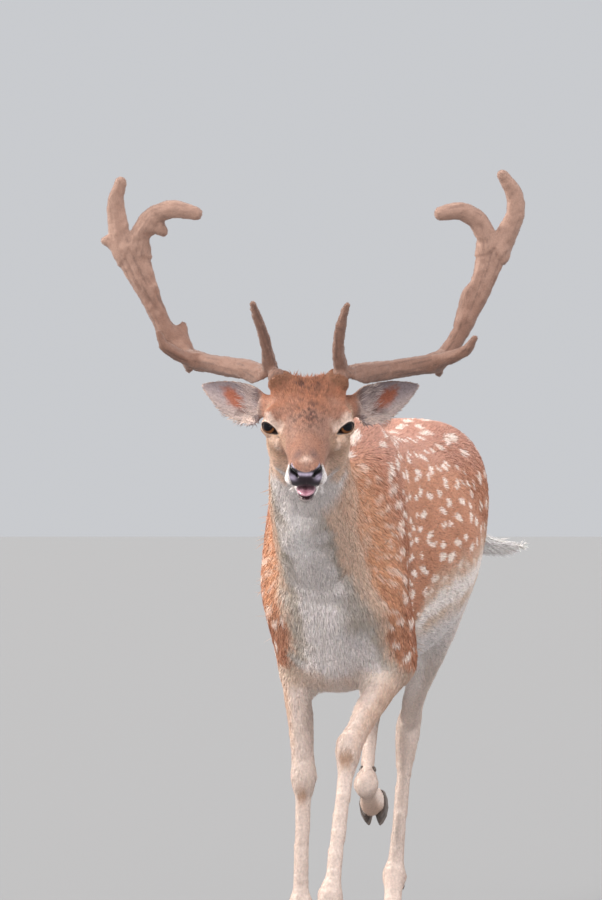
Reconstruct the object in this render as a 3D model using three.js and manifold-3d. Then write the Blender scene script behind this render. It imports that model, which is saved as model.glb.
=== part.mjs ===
// A fallow buck in summer coat with antlers in velvet, life size, caught in mid walk: both forefeet and
// the left hind foot are down, and the right hind foot swings forward. Millimetres, +Z up. The buck
// walks towards -Y and its left side is +X.
//
// The flesh is one smooth field: oval tubes and ovals along the bones, melted into each other. Each
// named part is polygonized from that field, thinned to a stated number of triangles and cut from its
// neighbours by flat cuts.
import * as THREE from "three";
import { triTable } from "three/addons/objects/MarchingCubes.js";
import { SimplifyModifier } from "three/addons/modifiers/SimplifyModifier.js";
import { mergeVertices } from "three/addons/utils/BufferGeometryUtils.js";
import Module from "manifold-3d";

const wasm = await Module();
wasm.setup();

// ---------------------------------------------------------------- driving dimensions

const GAP = 0.3; // clearance across every cut
const LEFT = 1;
const RIGHT = -1;

const HEAD_PLACE = [19.5, -500, 834]; // midway between the eyes
const HEAD_YAW = 6.5; // degrees, towards the buck's left
const HEAD_PITCH = 23; // degrees, nose below the eyes

const EYE = { radius: 15.5, apart: 51, forward: -2, up: 1 };
const ANTLER_SEAT = [48, 50, 64]; // where an antler meets its pedicle, in the head's frame

const CLAW = { length: 60, width: 22, toeHeight: 37, heelHeight: 22, apart: 12 };
const DEWCLAW = { radius: 7, length: 11 };

// Joints of each leg, from the top down. The socket is the fetlock's place in the foot's own frame, and
// toeDown is how far the foot is turned from lying flat.
const FORE = {
  left: {
    shoulder: [80, -100, 590], elbow: [91, 2, 487], knee: [32, -136, 350],
    fetlock: [9, -182, 125], socket: [0, 44, 104], toeDown: 30,
  },
  right: {
    shoulder: [-78, -92, 590], elbow: [-75, 36, 496], knee: [-63, 45, 300],
    fetlock: [-71, 64, 91], socket: [0, 45, 91], toeDown: 0,
  },
};
const HIND = {
  left: {
    hip: [86, 600, 720], thigh: [88, 534, 604], stifle: [88, 478, 510], gaskin: [50, 568, 422],
    hock: [24, 655, 346], fetlock: [4, 632, 104], socket: [0, 46, 104], toeDown: 0,
  },
  right: {
    hip: [-86, 600, 720], thigh: [-88, 512, 626], stifle: [-90, 434, 545], gaskin: [-52, 530, 470],
    hock: [-28, 615, 405], fetlock: [-18, 446, 262], socket: [0, 44, 104], toeDown: 92,
  },
};

// ---------------------------------------------------------------- fields

const vec = (point) => new THREE.Vector3(...point);
const lerp = THREE.MathUtils.lerp;
const radians = THREE.MathUtils.degToRad;

// Distance to an oval with half axes w, d and m, from a point given along those axes. It is exact on
// the surface and close enough near it.
function ovalDistance(u, v, t, w, d, m) {
  const inner = Math.sqrt((u / w) ** 2 + (v / d) ** 2 + (t / m) ** 2);
  const slope = Math.sqrt((u / w ** 2) ** 2 + (v / d ** 2) ** 2 + (t / m ** 2) ** 2);
  return slope > 1e-9 ? (inner * (inner - 1)) / slope : -Math.min(w, d, m);
}

// A field piece is { distance(x, y, z), box, blend }. The box lets far pieces be skipped.

// An oval tube through stations [x, y, z, half width, half depth]. The width lies along side.
function tube(stations, { side = [1, 0, 0], blend = 30, steps = 5 } = {}) {
  const centres = new THREE.CatmullRomCurve3(stations.map((s) => vec(s.slice(0, 3))));
  const sizes = new THREE.CatmullRomCurve3(stations.map((s) => new THREE.Vector3(s[3], s[4], 0)));
  const count = (stations.length - 1) * steps;
  const links = [];
  const box = new THREE.Box3();
  for (let i = 0; i < count; i++) {
    const start = centres.getPoint(i / count);
    const end = centres.getPoint((i + 1) / count);
    const along = end.clone().sub(start);
    const length = along.length();
    along.normalize();
    const across = vec(side).addScaledVector(along, -vec(side).dot(along)).normalize();
    const up = along.clone().cross(across);
    const from = sizes.getPoint(i / count);
    const to = sizes.getPoint((i + 1) / count);
    links.push({ start, along, length, across, up, from, to });
    box.union(new THREE.Box3().setFromCenterAndSize(start, new THREE.Vector3().setScalar(2 * Math.max(from.x, from.y))));
    box.union(new THREE.Box3().setFromCenterAndSize(end, new THREE.Vector3().setScalar(2 * Math.max(to.x, to.y))));
  }
  const distance = (x, y, z) => {
    let nearest = Infinity;
    for (const { start, along, length, across, up, from, to } of links) {
      const px = x - start.x;
      const py = y - start.y;
      const pz = z - start.z;
      const run = px * along.x + py * along.y + pz * along.z;
      const s = Math.min(1, Math.max(0, run / length));
      const w = lerp(from.x, to.x, s);
      const d = lerp(from.y, to.y, s);
      const u = px * across.x + py * across.y + pz * across.z;
      const v = px * up.x + py * up.y + pz * up.z;
      nearest = Math.min(nearest, ovalDistance(u, v, run - s * length, w, d, Math.min(w, d)));
    }
    return nearest;
  };
  return { distance, box, blend };
}

// An oval solid with its own turn, given as Euler degrees.
function oval(at, radii, { turn = [0, 0, 0], blend = 20 } = {}) {
  const matrix = new THREE.Matrix4().makeRotationFromEuler(new THREE.Euler(...turn.map(radians)));
  const [ux, uy, uz, , vx, vy, vz, , tx, ty, tz] = matrix.elements;
  const box = new THREE.Box3().setFromCenterAndSize(vec(at), new THREE.Vector3().setScalar(2 * Math.max(...radii)));
  const distance = (x, y, z) => {
    const px = x - at[0];
    const py = y - at[1];
    const pz = z - at[2];
    return ovalDistance(
      px * ux + py * uy + pz * uz,
      px * vx + py * vy + pz * vz,
      px * tx + py * ty + pz * tz,
      ...radii,
    );
  };
  return { distance, box, blend };
}

// The same piece seen from a turned and moved frame.
function placed(piece, frame) {
  const e = frame.clone().invert().elements;
  const distance = (x, y, z) =>
    piece.distance(
      e[0] * x + e[4] * y + e[8] * z + e[12],
      e[1] * x + e[5] * y + e[9] * z + e[13],
      e[2] * x + e[6] * y + e[10] * z + e[14],
    );
  return { distance, box: piece.box.clone().applyMatrix4(frame), blend: piece.blend, cut: piece.cut };
}

// All pieces melted together. A piece with cut: true is a hollow taken out of what comes before it.
function melted(pieces) {
  const reach = new THREE.Vector3();
  return (x, y, z) => {
    let total = 1e3;
    for (const { distance, box, blend, cut } of pieces) {
      const away = box.distanceToPoint(reach.set(x, y, z));
      if (cut) {
        if (away > blend) continue;
        const d = -distance(x, y, z);
        const h = Math.max(blend - Math.abs(total - d), 0);
        total = Math.max(total, d) + (h * h) / (4 * blend);
      } else {
        if (away > total + blend) continue;
        const d = distance(x, y, z);
        const h = Math.max(blend - Math.abs(total - d), 0);
        total = Math.min(total, d) - (h * h) / (4 * blend);
      }
    }
    return total;
  };
}

// ---------------------------------------------------------------- meshes

const CORNERS = [
  [0, 0, 0], [1, 0, 0], [1, 1, 0], [0, 1, 0],
  [0, 0, 1], [1, 0, 1], [1, 1, 1], [0, 1, 1],
];
const EDGES = [
  [0, 1], [1, 2], [2, 3], [3, 0], [4, 5], [5, 6], [6, 7], [7, 4],
  [0, 4], [1, 5], [2, 6], [3, 7],
];

// Marching cubes over a box: the surface where the field is zero, closed where it meets the box.
function polygonize(field, box, step) {
  const size = box.getSize(new THREE.Vector3());
  const [nx, ny, nz] = size.toArray().map((s) => Math.ceil(s / step) + 1);
  const values = new Float32Array(nx * ny * nz);
  const index = (i, j, k) => (k * ny + j) * nx + i;
  const onRim = (i, j, k) => i === 0 || j === 0 || k === 0 || i === nx - 1 || j === ny - 1 || k === nz - 1;
  for (let k = 0; k < nz; k++)
    for (let j = 0; j < ny; j++)
      for (let i = 0; i < nx; i++) {
        const d = field(box.min.x + i * step, box.min.y + j * step, box.min.z + k * step);
        values[index(i, j, k)] = onRim(i, j, k) ? Math.max(d, step / 4) : d === 0 ? 1e-3 : d;
      }
  const positions = [];
  const triangles = [];
  const made = new Map(); // one vertex for each crossed grid edge
  const vertexOn = (i, j, k, edge) => {
    const [a, b] = EDGES[edge].map((c) => CORNERS[c]);
    const ia = index(i + a[0], j + a[1], k + a[2]);
    const ib = index(i + b[0], j + b[1], k + b[2]);
    const key = Math.min(ia, ib) * 3 + [0, 1, 2].find((axis) => a[axis] !== b[axis]);
    if (!made.has(key)) {
      const s = THREE.MathUtils.clamp(values[ia] / (values[ia] - values[ib]), 0.02, 0.98);
      made.set(key, positions.length / 3);
      positions.push(
        box.min.x + (i + lerp(a[0], b[0], s)) * step,
        box.min.y + (j + lerp(a[1], b[1], s)) * step,
        box.min.z + (k + lerp(a[2], b[2], s)) * step,
      );
    }
    return made.get(key);
  };
  for (let k = 0; k < nz - 1; k++)
    for (let j = 0; j < ny - 1; j++)
      for (let i = 0; i < nx - 1; i++) {
        let inside = 0;
        CORNERS.forEach((c, bit) => {
          if (values[index(i + c[0], j + c[1], k + c[2])] < 0) inside |= 1 << bit;
        });
        for (let row = inside * 16; triTable[row] !== -1; row += 3)
          triangles.push(
            vertexOn(i, j, k, triTable[row]),
            vertexOn(i, j, k, triTable[row + 2]),
            vertexOn(i, j, k, triTable[row + 1]),
          );
      }
  return new THREE.BufferGeometry()
    .setAttribute("position", new THREE.BufferAttribute(new Float32Array(positions), 3))
    .setIndex(triangles);
}

const simplifier = new SimplifyModifier();

// A field's surface as a geometry of about the given number of triangles.
async function surface(pieces, box, step, triangles) {
  const fine = polygonize(melted(pieces), box, step);
  const vertices = fine.getAttribute("position").count;
  const removed = Math.round(vertices * (1 - (3 * triangles) / fine.getIndex().count));
  return simplifier.modify(fine, removed);
}

function manifoldOf(geometry) {
  const bare = new THREE.BufferGeometry().setAttribute("position", geometry.getAttribute("position"));
  if (geometry.getIndex()) bare.setIndex(geometry.getIndex());
  const merged = mergeVertices(bare, 1e-3);
  return new wasm.Manifold(
    new wasm.Mesh({
      numProp: 3,
      vertProperties: merged.getAttribute("position").array,
      triVerts: new Uint32Array(merged.getIndex().array),
    }),
  );
}

function geometryOf(manifold) {
  const mesh = manifold.getMesh();
  return new THREE.BufferGeometry()
    .setAttribute("position", new THREE.BufferAttribute(mesh.vertProperties, 3))
    .setIndex(new THREE.BufferAttribute(mesh.triVerts, 1));
}

// A block whose bottom face lies on a plane, moved along the normal by shift. It spans size across the
// plane and depth above it.
function block({ at, normal, size = [1600, 1600], depth = 1600 }, shift) {
  const up = vec(normal).normalize();
  const turn = new THREE.Quaternion().setFromUnitVectors(new THREE.Vector3(0, 0, 1), up);
  const geometry = new THREE.BoxGeometry(size[0], size[1], depth);
  const centre = vec(at).addScaledVector(up, depth / 2 + shift);
  geometry.applyMatrix4(new THREE.Matrix4().compose(centre, turn, new THREE.Vector3(1, 1, 1)));
  return manifoldOf(geometry);
}

const opposite = (normal) => normal.map((n) => -n);

// The biggest body of a cut, so that no stray chip is kept.
function biggest(manifold) {
  return manifold.decompose().sort((a, b) => b.volume() - a.volume())[0];
}

// What is left of a solid below each of the planes { at, normal }.
function keepBelow(solid, ...planes) {
  return biggest(planes.reduce((rest, plane) => rest.subtract(block(plane, -GAP / 2)), solid));
}

// A closed mesh through rings of equal length, with a flat fan at each end.
function loft(rings) {
  const points = rings.flat();
  const around = rings[0].length;
  const triangles = [];
  const quad = (a, b, c, d) => triangles.push(a, b, c, a, c, d);
  for (let r = 0; r < rings.length - 1; r++)
    for (let i = 0; i < around; i++) {
      const j = (i + 1) % around;
      quad(r * around + i, r * around + j, (r + 1) * around + j, (r + 1) * around + i);
    }
  for (const [ring, start] of [[rings[0], 0], [rings.at(-1), (rings.length - 1) * around]]) {
    const hub = points.length;
    points.push(ring.reduce((sum, p) => sum.add(p), new THREE.Vector3()).divideScalar(around));
    for (let i = 0; i < around; i++) {
      const j = (i + 1) % around;
      if (start === 0) triangles.push(hub, j, i);
      else triangles.push(hub, start + i, start + j);
    }
  }
  const geometry = new THREE.BufferGeometry().setFromPoints(points).setIndex(triangles);
  return manifoldOf(geometry).volume() < 0 ? flipped(geometry) : geometry;
}

function flipped(geometry) {
  const turned = Array.from(geometry.getIndex().array);
  for (let i = 0; i < turned.length; i += 3) [turned[i + 1], turned[i + 2]] = [turned[i + 2], turned[i + 1]];
  return geometry.setIndex(turned);
}

// ---------------------------------------------------------------- flesh

const mirrored = (side, [x, y, z, ...sizes]) => [side * x, y, z, ...sizes];
const both = (make) => [make(LEFT), make(RIGHT)];

const trunkFlesh = [
  tube([
    [0, -128, 606, 58, 90],
    [0, -70, 632, 82, 156],
    [0, 10, 646, 98, 208],
    [0, 110, 645, 120, 208],
    [2, 230, 638, 145, 198],
    [4, 350, 642, 167, 190],
    [4, 460, 662, 165, 176],
    [2, 560, 690, 160, 162],
    [2, 640, 700, 146, 142],
    [0, 705, 706, 94, 94],
  ], { blend: 20, steps: 4 }),
  ...both((s) => tube([
    [s * 40, 42, 806, 28, 60],
    [s * 66, -20, 712, 34, 80],
    [s * 70, -78, 622, 30, 64],
  ], { blend: 40 })),
  ...both((s) => oval([s * 72, 606, 768], [79, 120, 78], { blend: 45 })),
  ...both((s) => oval([s * 56, 696, 690], [64, 74, 110], { blend: 40 })),
];

const neckFlesh = [
  tube([
    [0, 20, 676, 82, 150],
    [-3, -90, 676, 80, 132],
    [-8, -190, 696, 72, 108],
    [-6, -290, 742, 64, 86],
    [3, -372, 786, 59, 72],
    [11, -440, 812, 53, 60],
  ], { blend: 50, steps: 5 }),
  oval([-5, -332, 690], [20, 32, 22], { blend: 24 }),
];

// The breast between the forelegs, deepest just behind them.
const breastFlesh = [
  tube([
    [0, -118, 560, 50, 62],
    [0, -70, 500, 50, 60],
    [0, 20, 476, 46, 50],
  ], { blend: 45 }),
];

const fleshOfForeleg = (j) => [
  tube([
    [...j.shoulder, 32, 58],
    [...midpoint(j.shoulder, j.elbow, 0.6), 32, 58],
    [...j.elbow, 29, 48],
  ], { blend: 38 }),
  tube([
    [...j.elbow, 28, 46],
    [...midpoint(j.elbow, j.knee, 0.28), 24, 36],
    [...midpoint(j.elbow, j.knee, 0.62), 19, 26],
    [...midpoint(j.elbow, j.knee, 0.88), 18, 21.5],
    [...j.knee, 20, 23],
    [...midpoint(j.knee, j.fetlock, 0.1), 16.5, 18.5],
    [...midpoint(j.knee, j.fetlock, 0.22), 12.2, 14.5],
    [...midpoint(j.knee, j.fetlock, 0.8), 11.8, 14.5],
    [...j.fetlock, 17.5, 19],
  ], { blend: 24 }),
  oval([j.knee[0], j.knee[1] - 8, j.knee[2] - 4], [18.5, 15, 25], { blend: 9 }),
];

const fleshOfHindleg = (side, j) => [
  tube([
    [...j.hip, 60, 90],
    [...j.thigh, 52, 84],
    [...j.stifle, 32, 50],
  ], { blend: 42 }),
  tube([
    [side * 62, 712, 690, 44, 50],
    [side * 74, 642, 574, 36, 54],
    [...midpoint(j.thigh, j.gaskin, 0.85), 24, 36],
  ], { blend: 40 }),
  tube([
    [...j.stifle, 30, 46],
    [...midpoint(j.stifle, j.gaskin, 0.55), 27, 40],
    [...j.gaskin, 21.5, 28],
    [...midpoint(j.gaskin, j.hock, 0.7), 17.5, 21],
    [...j.hock, 19.5, 23],
    [...midpoint(j.hock, j.fetlock, 0.14), 17, 20],
    [...midpoint(j.hock, j.fetlock, 0.34), 12.2, 15],
    [...midpoint(j.hock, j.fetlock, 0.8), 11.6, 14.5],
    [...j.fetlock, 17.5, 19],
  ], { blend: 20 }),
];

function midpoint(a, b, share) {
  return vec(a).lerp(vec(b), share).toArray();
}

// The hock's point, the tendon that runs up from it to the thigh, and the web of skin before it.
function heelCord({ gaskin, hock, fetlock }, pointOffset, cordTop) {
  const point = hock.map((c, axis) => c + pointOffset[axis]);
  const webAt = midpoint(midpoint(gaskin, hock, 0.45), midpoint(point, cordTop, 0.45), 0.5);
  return [
    tube([
      [...midpoint(hock, fetlock, 0.1), 13, 14],
      [...midpoint(hock, point, 0.6), 14, 15],
      [...point, 10.5, 10.5],
    ], { blend: 16 }),
    tube([
      [...point, 8, 9],
      [...midpoint(point, cordTop, 0.5), 7.5, 11],
      [...cordTop, 15, 22],
    ], { blend: 20 }),
    oval(webAt, [9, 30, 54], { turn: [31, 0, 0], blend: 14 }),
  ];
}

const HEEL_CORDS = {
  left: heelCord(HIND.left, [0, 34, 36], [58, 628, 478]),
  right: heelCord(HIND.right, [0, 42, 30], [-62, 602, 545]),
};

// ---------------------------------------------------------------- feet

// A foot's frame has its origin under the middle of the sole, the toe towards -Y.
function footFrame({ fetlock, socket, toeDown }) {
  const turn = new THREE.Matrix4().makeRotationX(radians(toeDown));
  return turn.setPosition(vec(fetlock).sub(vec(socket).applyMatrix4(turn)));
}

// In a foot's frame: the pastern from the fetlock down to the band round the hooves' tops, with heel bulbs.
const pasternFlesh = ([x, y, z]) => [
  tube([
    [x, y, z, 17.5, 19],
    [x, lerp(y, 10, 0.5), lerp(z, 46, 0.55), 14.5, 15.5],
    [x, 10, 46, 17.5, 17.5],
    [x, 4, 26, 20, 22],
  ], { blend: 14 }),
  ...both((s) => oval([s * 9.5, 22, 24], [9.5, 13, 13], { blend: 10 })),
  oval([x, y + 9, z - 8], [13, 13, 15], { blend: 12 }),
];

const coronet = {
  at: [0, 2, lerp(CLAW.heelHeight, CLAW.toeHeight, 0.45)],
  normal: [0, (CLAW.heelHeight - CLAW.toeHeight) / (0.7 * CLAW.length), -1],
};

// A claw, flat below, with its pointed toe curving in to its neighbour.
function clawGeometry(side) {
  const around = 12;
  const slope = coronet.normal[1];
  const ring = (share, z0) =>
    Array.from({ length: around }, (_, i) => {
      const angle = (2 * Math.PI * i) / around;
      const forward = Math.cos(angle); // 1 at the toe
      const length = CLAW.length * lerp(0.5, 0.36, share);
      const taper = 1 - 0.42 * Math.max(0, forward) ** 2;
      const y = -forward * length + lerp(-2, 8, share);
      const x = side * (CLAW.apart - 3.2 * Math.max(0, forward) ** 3 * (1 - share))
        + Math.sin(angle) * CLAW.width * 0.5 * taper * lerp(1, 0.9, share);
      const top = coronet.at[2] + (y - coronet.at[1]) * slope - GAP / 2;
      return new THREE.Vector3(x, y, z0 === null ? top : z0);
    });
  const bulge = ring(0.35, null).map((p) => new THREE.Vector3(p.x, p.y, p.z * 0.55));
  return loft([ring(0, 0), bulge, ring(1, null)]);
}

function dewclawGeometry(side, [x, y, z], more = 0) {
  const geometry = new THREE.SphereGeometry(1, 6, 4);
  geometry.scale(DEWCLAW.radius + more, DEWCLAW.radius + more, DEWCLAW.length + more);
  geometry.rotateX(radians(35));
  return geometry.translate(x + side * 12, y + 24, z - 20);
}

// ---------------------------------------------------------------- head

const headFrame = new THREE.Matrix4()
  .makeRotationZ(radians(HEAD_YAW))
  .multiply(new THREE.Matrix4().makeRotationX(radians(HEAD_PITCH)))
  .setPosition(...HEAD_PLACE);

const MOUTH = { up: -38.5, open: 14, back: -92, wide: 17 };

// In the head's own frame: nose towards -Y, the eyes level with the origin.
const headFlesh = [
  oval([0, 52, 2], [50, 62, 46], { blend: 30 }), // braincase
  tube([ // forehead and face
    [0, 30, 2, 46, 46],
    [0, 0, 0, 44, 41],
    [0, -40, -7, 35, 37],
    [0, -85, -12, 28, 32],
    [0, -120, -14, 27, 28],
    [0, -140, -14, 25, 23],
  ], { blend: 24 }),
  tube([ // lower jaw
    [0, -134, -52, 13, 7.5],
    [0, -105, -52, 18, 11],
    [0, -60, -57, 23, 18],
    [0, -5, -62, 31, 27],
    [0, 45, -58, 38, 36],
  ], { blend: 14 }),
  ...both((s) => oval([s * 38, 22, -38], [22, 46, 36], { blend: 22 })), // cheeks
  ...both((s) => oval([s * 48, 5, 12], [19, 25, 18], { turn: [0, 0, s * 12], blend: 14 })), // brows
  ...both((s) => oval([s * 46, -4, -17], [14, 28, 11], { blend: 14 })), // under the eyes
  ...both((s) => oval([s * 17, -133, -24], [13.5, 21, 12], { blend: 9 })), // upper lips
  oval([0, -145, -8], [23, 14, 14], { blend: 9 }), // nose
  ...both((s) => tube([ // pedicles
    [s * 30, 40, 28, 20, 20],
    [s * 41, 47, 50, 19, 19],
    [s * 54, 53, 76, 19, 19],
  ], { blend: 16 })),
  oval([0, 36, 42], [22, 22, 15], { blend: 18 }), // crest of hair
  ...both((s) => tube([ // ear roots
    [s * 34, 64, -4, 22, 22],
    [s * 56, 80, -3, 17, 19],
    [s * 74, 94, -3, 14, 16],
  ], { blend: 20 })),
  { ...oval([0, -136, MOUTH.up], [MOUTH.wide, 44, MOUTH.open / 2], { blend: 4 }), cut: true },
  ...both((s) => ({ ...oval([s * 13.5, -158, -4], [6.5, 9, 4.2], { turn: [0, s * 30, 0], blend: 3 }), cut: true })),
];
const headInPlace = headFlesh.map((piece) => placed(piece, headFrame));
const inHead = (point) => vec(point).applyMatrix4(headFrame).toArray();
const alongHead = (direction) => vec(direction).transformDirection(headFrame).toArray();

// An ear: a cupped leaf, thick at the root, whose hollow faces forward.
const EAR = { length: 124, above: 24, below: 35, cup: 14, thick: 5 };
const EAR_ROOT = [64, 84, -3];
const EAR_TIP = [162, 162, -1];

function earGeometry(side) {
  const rows = 9;
  const columns = 6;
  const root = vec(mirrored(side, EAR_ROOT));
  const tip = vec(mirrored(side, EAR_TIP));
  const along = tip.clone().sub(root).normalize();
  const outward = new THREE.Vector3(side * 0.3, -0.9, 0.3).projectOnPlane(along).normalize(); // hollow
  const across = along.clone().cross(outward).normalize();
  const ring = (t) => {
    const bloom = Math.sin(Math.PI * Math.min(1, t * 0.86 + 0.14) ** 0.78) ** 0.85;
    const thick = lerp(EAR.thick * 1.5, EAR.thick * 0.8, t);
    const middle = root.clone().addScaledVector(along, t * EAR.length);
    const curl = EAR.cup * (1 - 0.55 * t) * Math.min(1, bloom + 0.2);
    const place = (s, lift) =>
      middle.clone()
        .addScaledVector(across, s * ((s * side > 0 ? EAR.below : EAR.above) * bloom + 2))
        .addScaledVector(outward, curl * (s * s - 0.35) + lift);
    const front = Array.from({ length: columns + 1 }, (_, i) => place(-1 + (2 * i) / columns, 0));
    const back = Array.from({ length: columns - 1 }, (_, i) => {
      const s = 1 - (2 * (i + 1)) / columns;
      return place(s, -thick * Math.sqrt(1 - s ** 4) - 0.5);
    });
    return [...front, ...back];
  };
  return loft(Array.from({ length: rows + 1 }, (_, r) => ring(r / rows)));
}

// ---------------------------------------------------------------- antlers

// Each antler in the world's frame. The right one keeps its own shape, as real pairs differ.
const ANTLERS = {
  left: {
    beam: [
      [72, -452, 906, 19, 19], [97, -420, 914, 16.5, 16.5], [120, -390, 917, 15.5, 15.5],
      [156, -355, 924, 15, 15], [190, -328, 932, 14, 14], [211, -306, 958, 13.5, 13.5],
      [227, -296, 990, 13.5, 14],
    ],
    palm: [[227, -296, 990, 13.5, 14], [246, -283, 1034, 17.5, 13], [258, -276, 1070, 21, 12.5], [266, -272, 1094, 23, 12]],
    brow: [[68, -452, 898, 13, 13], [63, -490, 939, 9.5, 9.5], [70, -520, 978, 8.5, 8.5], [83, -545, 1010, 5.5, 5.5]],
    trez: [[190, -336, 932, 12, 12], [219, -360, 939, 10.5, 10.5], [240, -372, 949, 9, 9], [251, -380, 965, 6, 6]],
    inner: [
      [262, -272, 1094, 15, 12], [256, -275, 1119, 13.5, 12], [244, -280, 1143, 13.5, 12],
      [220, -288, 1156, 13.5, 12], [192, -299, 1152, 10, 10],
    ],
    outer: [
      [274, -270, 1096, 15, 12], [287, -268, 1124, 13, 11], [300, -268, 1152, 12.5, 11],
      [298, -270, 1182, 11.5, 10], [281, -280, 1210, 7.5, 7.5],
    ],
    knobs: [
      { at: [230, -286, 1034], to: [216, -280, 990], size: 9 }, // back tine, seen edge on
      { at: [190, -322, 925], to: [189, -306, 912], size: 7 },
    ],
  },
  right: {
    beam: [
      [-50, -452, 906, 19, 19], [-83, -420, 919, 16.5, 16.5], [-115, -390, 923, 15.5, 15.5],
      [-145, -360, 928, 15, 15], [-173, -335, 934, 14.5, 14.5], [-198, -312, 950, 13.5, 13.5],
      [-222, -300, 974, 13.5, 14],
    ],
    palm: [[-222, -300, 974, 13.5, 14], [-243, -290, 1018, 15, 13], [-264, -282, 1061, 21.5, 12.5], [-278, -275, 1094, 25, 12]],
    brow: [[-40, -452, 898, 13, 13], [-42, -490, 944, 10, 10], [-50, -520, 986, 8.5, 8.5], [-56, -545, 1013, 5.5, 5.5]],
    trez: [[-166, -340, 931, 12, 12], [-194, -360, 941, 10.5, 10.5], [-214, -375, 955, 9, 9], [-221, -380, 974, 6, 6]],
    inner: [
      [-272, -275, 1094, 16, 12], [-265, -278, 1126, 14, 12], [-247, -285, 1150, 13, 12],
      [-214, -295, 1161, 13, 12], [-178, -304, 1154, 9, 9],
    ],
    outer: [
      [-286, -272, 1096, 16, 12], [-300, -270, 1130, 13, 11], [-305, -272, 1170, 11.5, 10],
      [-295, -279, 1203, 7.5, 7.5],
    ],
    knobs: [
      { at: [-298, -270, 1102], to: [-320, -270, 1115], size: 7.5 },
      { at: [-244, -284, 1138], to: [-230, -285, 1128], size: 8.5 },
      { at: [-192, -314, 956], to: [-198, -292, 988], size: 8 },
      { at: [-184, -328, 930], to: [-187, -312, 917], size: 6 },
      { at: [-252, -289, 1037], to: [-241, -293, 1042], size: 6.5 },
    ],
  },
};

const knob = ({ at, to, size }) => [
  [...at, size * 1.15, size * 1.15],
  [...midpoint(at, to, 0.5), size, size],
  [...to, size * 0.85, size * 0.85],
];

const antlerFlesh = ({ beam, palm, brow, trez, inner, outer, knobs }) => [
  tube(beam, { blend: 10 }),
  tube(palm, { blend: 10 }),
  ...[brow, trez, inner, outer, ...knobs.map(knob)].map((tine) => tube(tine, { blend: 12 })),
];

// ---------------------------------------------------------------- cuts

const cuts = {
  neckBase: { at: [0, -92, 700], normal: [0, -0.75, 0.66] },
  neckTop: { at: inHead([0, 104, -20]), normal: alongHead([0, -1, 0.1]) },
  tailRoot: { at: [0, 812, 748], normal: [0, 1, 0] },
  seat: (side) => ({
    at: inHead(mirrored(side, ANTLER_SEAT)),
    normal: alongHead([side * 0.5, 0.25, 0.83]),
    size: [110, 110],
    depth: 500,
  }),
  earRoot: (side) => ({
    at: inHead(mirrored(side, [70, 90, -3])),
    normal: alongHead([side * 0.78, 0.62, 0]),
    size: [100, 100],
    depth: 200,
  }),
};

// Each leg leaves the trunk through a slanting plane. It is walled off from the other side of the
// buck and from the belly by upright walls that meet no flesh, except between the thighs.
const legCuts = {
  foreleg_left: { at: [78, -16, 476], normal: [0.6, -0.26, -0.75], walls: [[4, -230], [400, 105]] },
  foreleg_right: { at: [-78, 20, 470], normal: [-0.62, 0, -0.78], walls: [[-400, -120], [-4, 122]] },
  hindleg_left: { at: [70, 585, 570], normal: [0.28, 0.48, -0.85], walls: [[0, 330], [400, 811]] },
  hindleg_right: { at: [-70, 520, 588], normal: [-0.28, 0.45, -0.85], walls: [[-400, 270], [0, 811]] },
};

// The space that a leg takes, with each face moved inwards by shift.
function legSpace({ at, normal, walls: [[x0, y0], [x1, y1]] }, shift) {
  const room = new THREE.BoxGeometry(x1 - x0 - 2 * shift, y1 - y0 - 2 * shift, 1200);
  return manifoldOf(room.translate((x0 + x1) / 2, (y0 + y1) / 2, 300)).intersect(block({ at, normal }, shift));
}

// ---------------------------------------------------------------- materials

const coat = (color) => new THREE.MeshStandardMaterial({ color, roughness: 0.9, metalness: 0 });
const finish = {
  chestnut: coat(0xa8693f),
  fawn: coat(0xc9a27c),
  pale: coat(0xd8c8b4),
  velvet: coat(0xa87f68),
  horn: new THREE.MeshStandardMaterial({ color: 0x2b2622, roughness: 0.45, metalness: 0 }),
  eye: new THREE.MeshStandardMaterial({ color: 0x1a0f08, roughness: 0.08, metalness: 0 }),
  tongue: new THREE.MeshStandardMaterial({ color: 0xb98591, roughness: 0.35, metalness: 0 }),
};

const deer = new THREE.Group();

function add(name, solid, material) {
  const mesh = new THREE.Mesh(solid.isBufferGeometry ? solid : geometryOf(solid), material);
  mesh.name = name;
  deer.add(mesh);
}

const boxOf = (low, high) => new THREE.Box3(vec(low), vec(high));

// ---------------------------------------------------------------- trunk, neck and tail

const tailFlesh = tube([
  [0, 735, 766, 20, 20],
  [0, 788, 766, 17, 15],
  [5, 822, 750, 18, 12],
  [28, 838, 708, 20, 12],
  [72, 846, 668, 20, 12],
  [122, 848, 646, 18, 11],
  [166, 842, 639, 14, 9],
  [204, 836, 645, 4, 3],
], { side: [0.3, 0, 1], blend: 22 });

const flesh = [
  ...trunkFlesh, ...breastFlesh, ...neckFlesh,
  ...fleshOfForeleg(FORE.left), ...fleshOfForeleg(FORE.right),
  ...fleshOfHindleg(LEFT, HIND.left), ...fleshOfHindleg(RIGHT, HIND.right),
  ...HEEL_CORDS.left, ...HEEL_CORDS.right,
  tailFlesh, ...headInPlace,
];

// The flesh inside a box, at a grid step, thinned to a number of triangles.
const fleshIn = async (low, high, step, triangles, more = []) =>
  manifoldOf(await surface([...flesh, ...more], new THREE.Box3(vec(low), vec(high)), step, triangles));

const trunk = await fleshIn([-215, -250, 400], [215, 830, 880], 10, 1500);
const legSpaces = Object.values(legCuts).map((cut) => legSpace(cut, -GAP / 2));
const trunkAlone = keepBelow(legSpaces.reduce((rest, space) => rest.subtract(space), trunk), cuts.neckBase, cuts.tailRoot);
add("trunk", trunkAlone, finish.chestnut);

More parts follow.
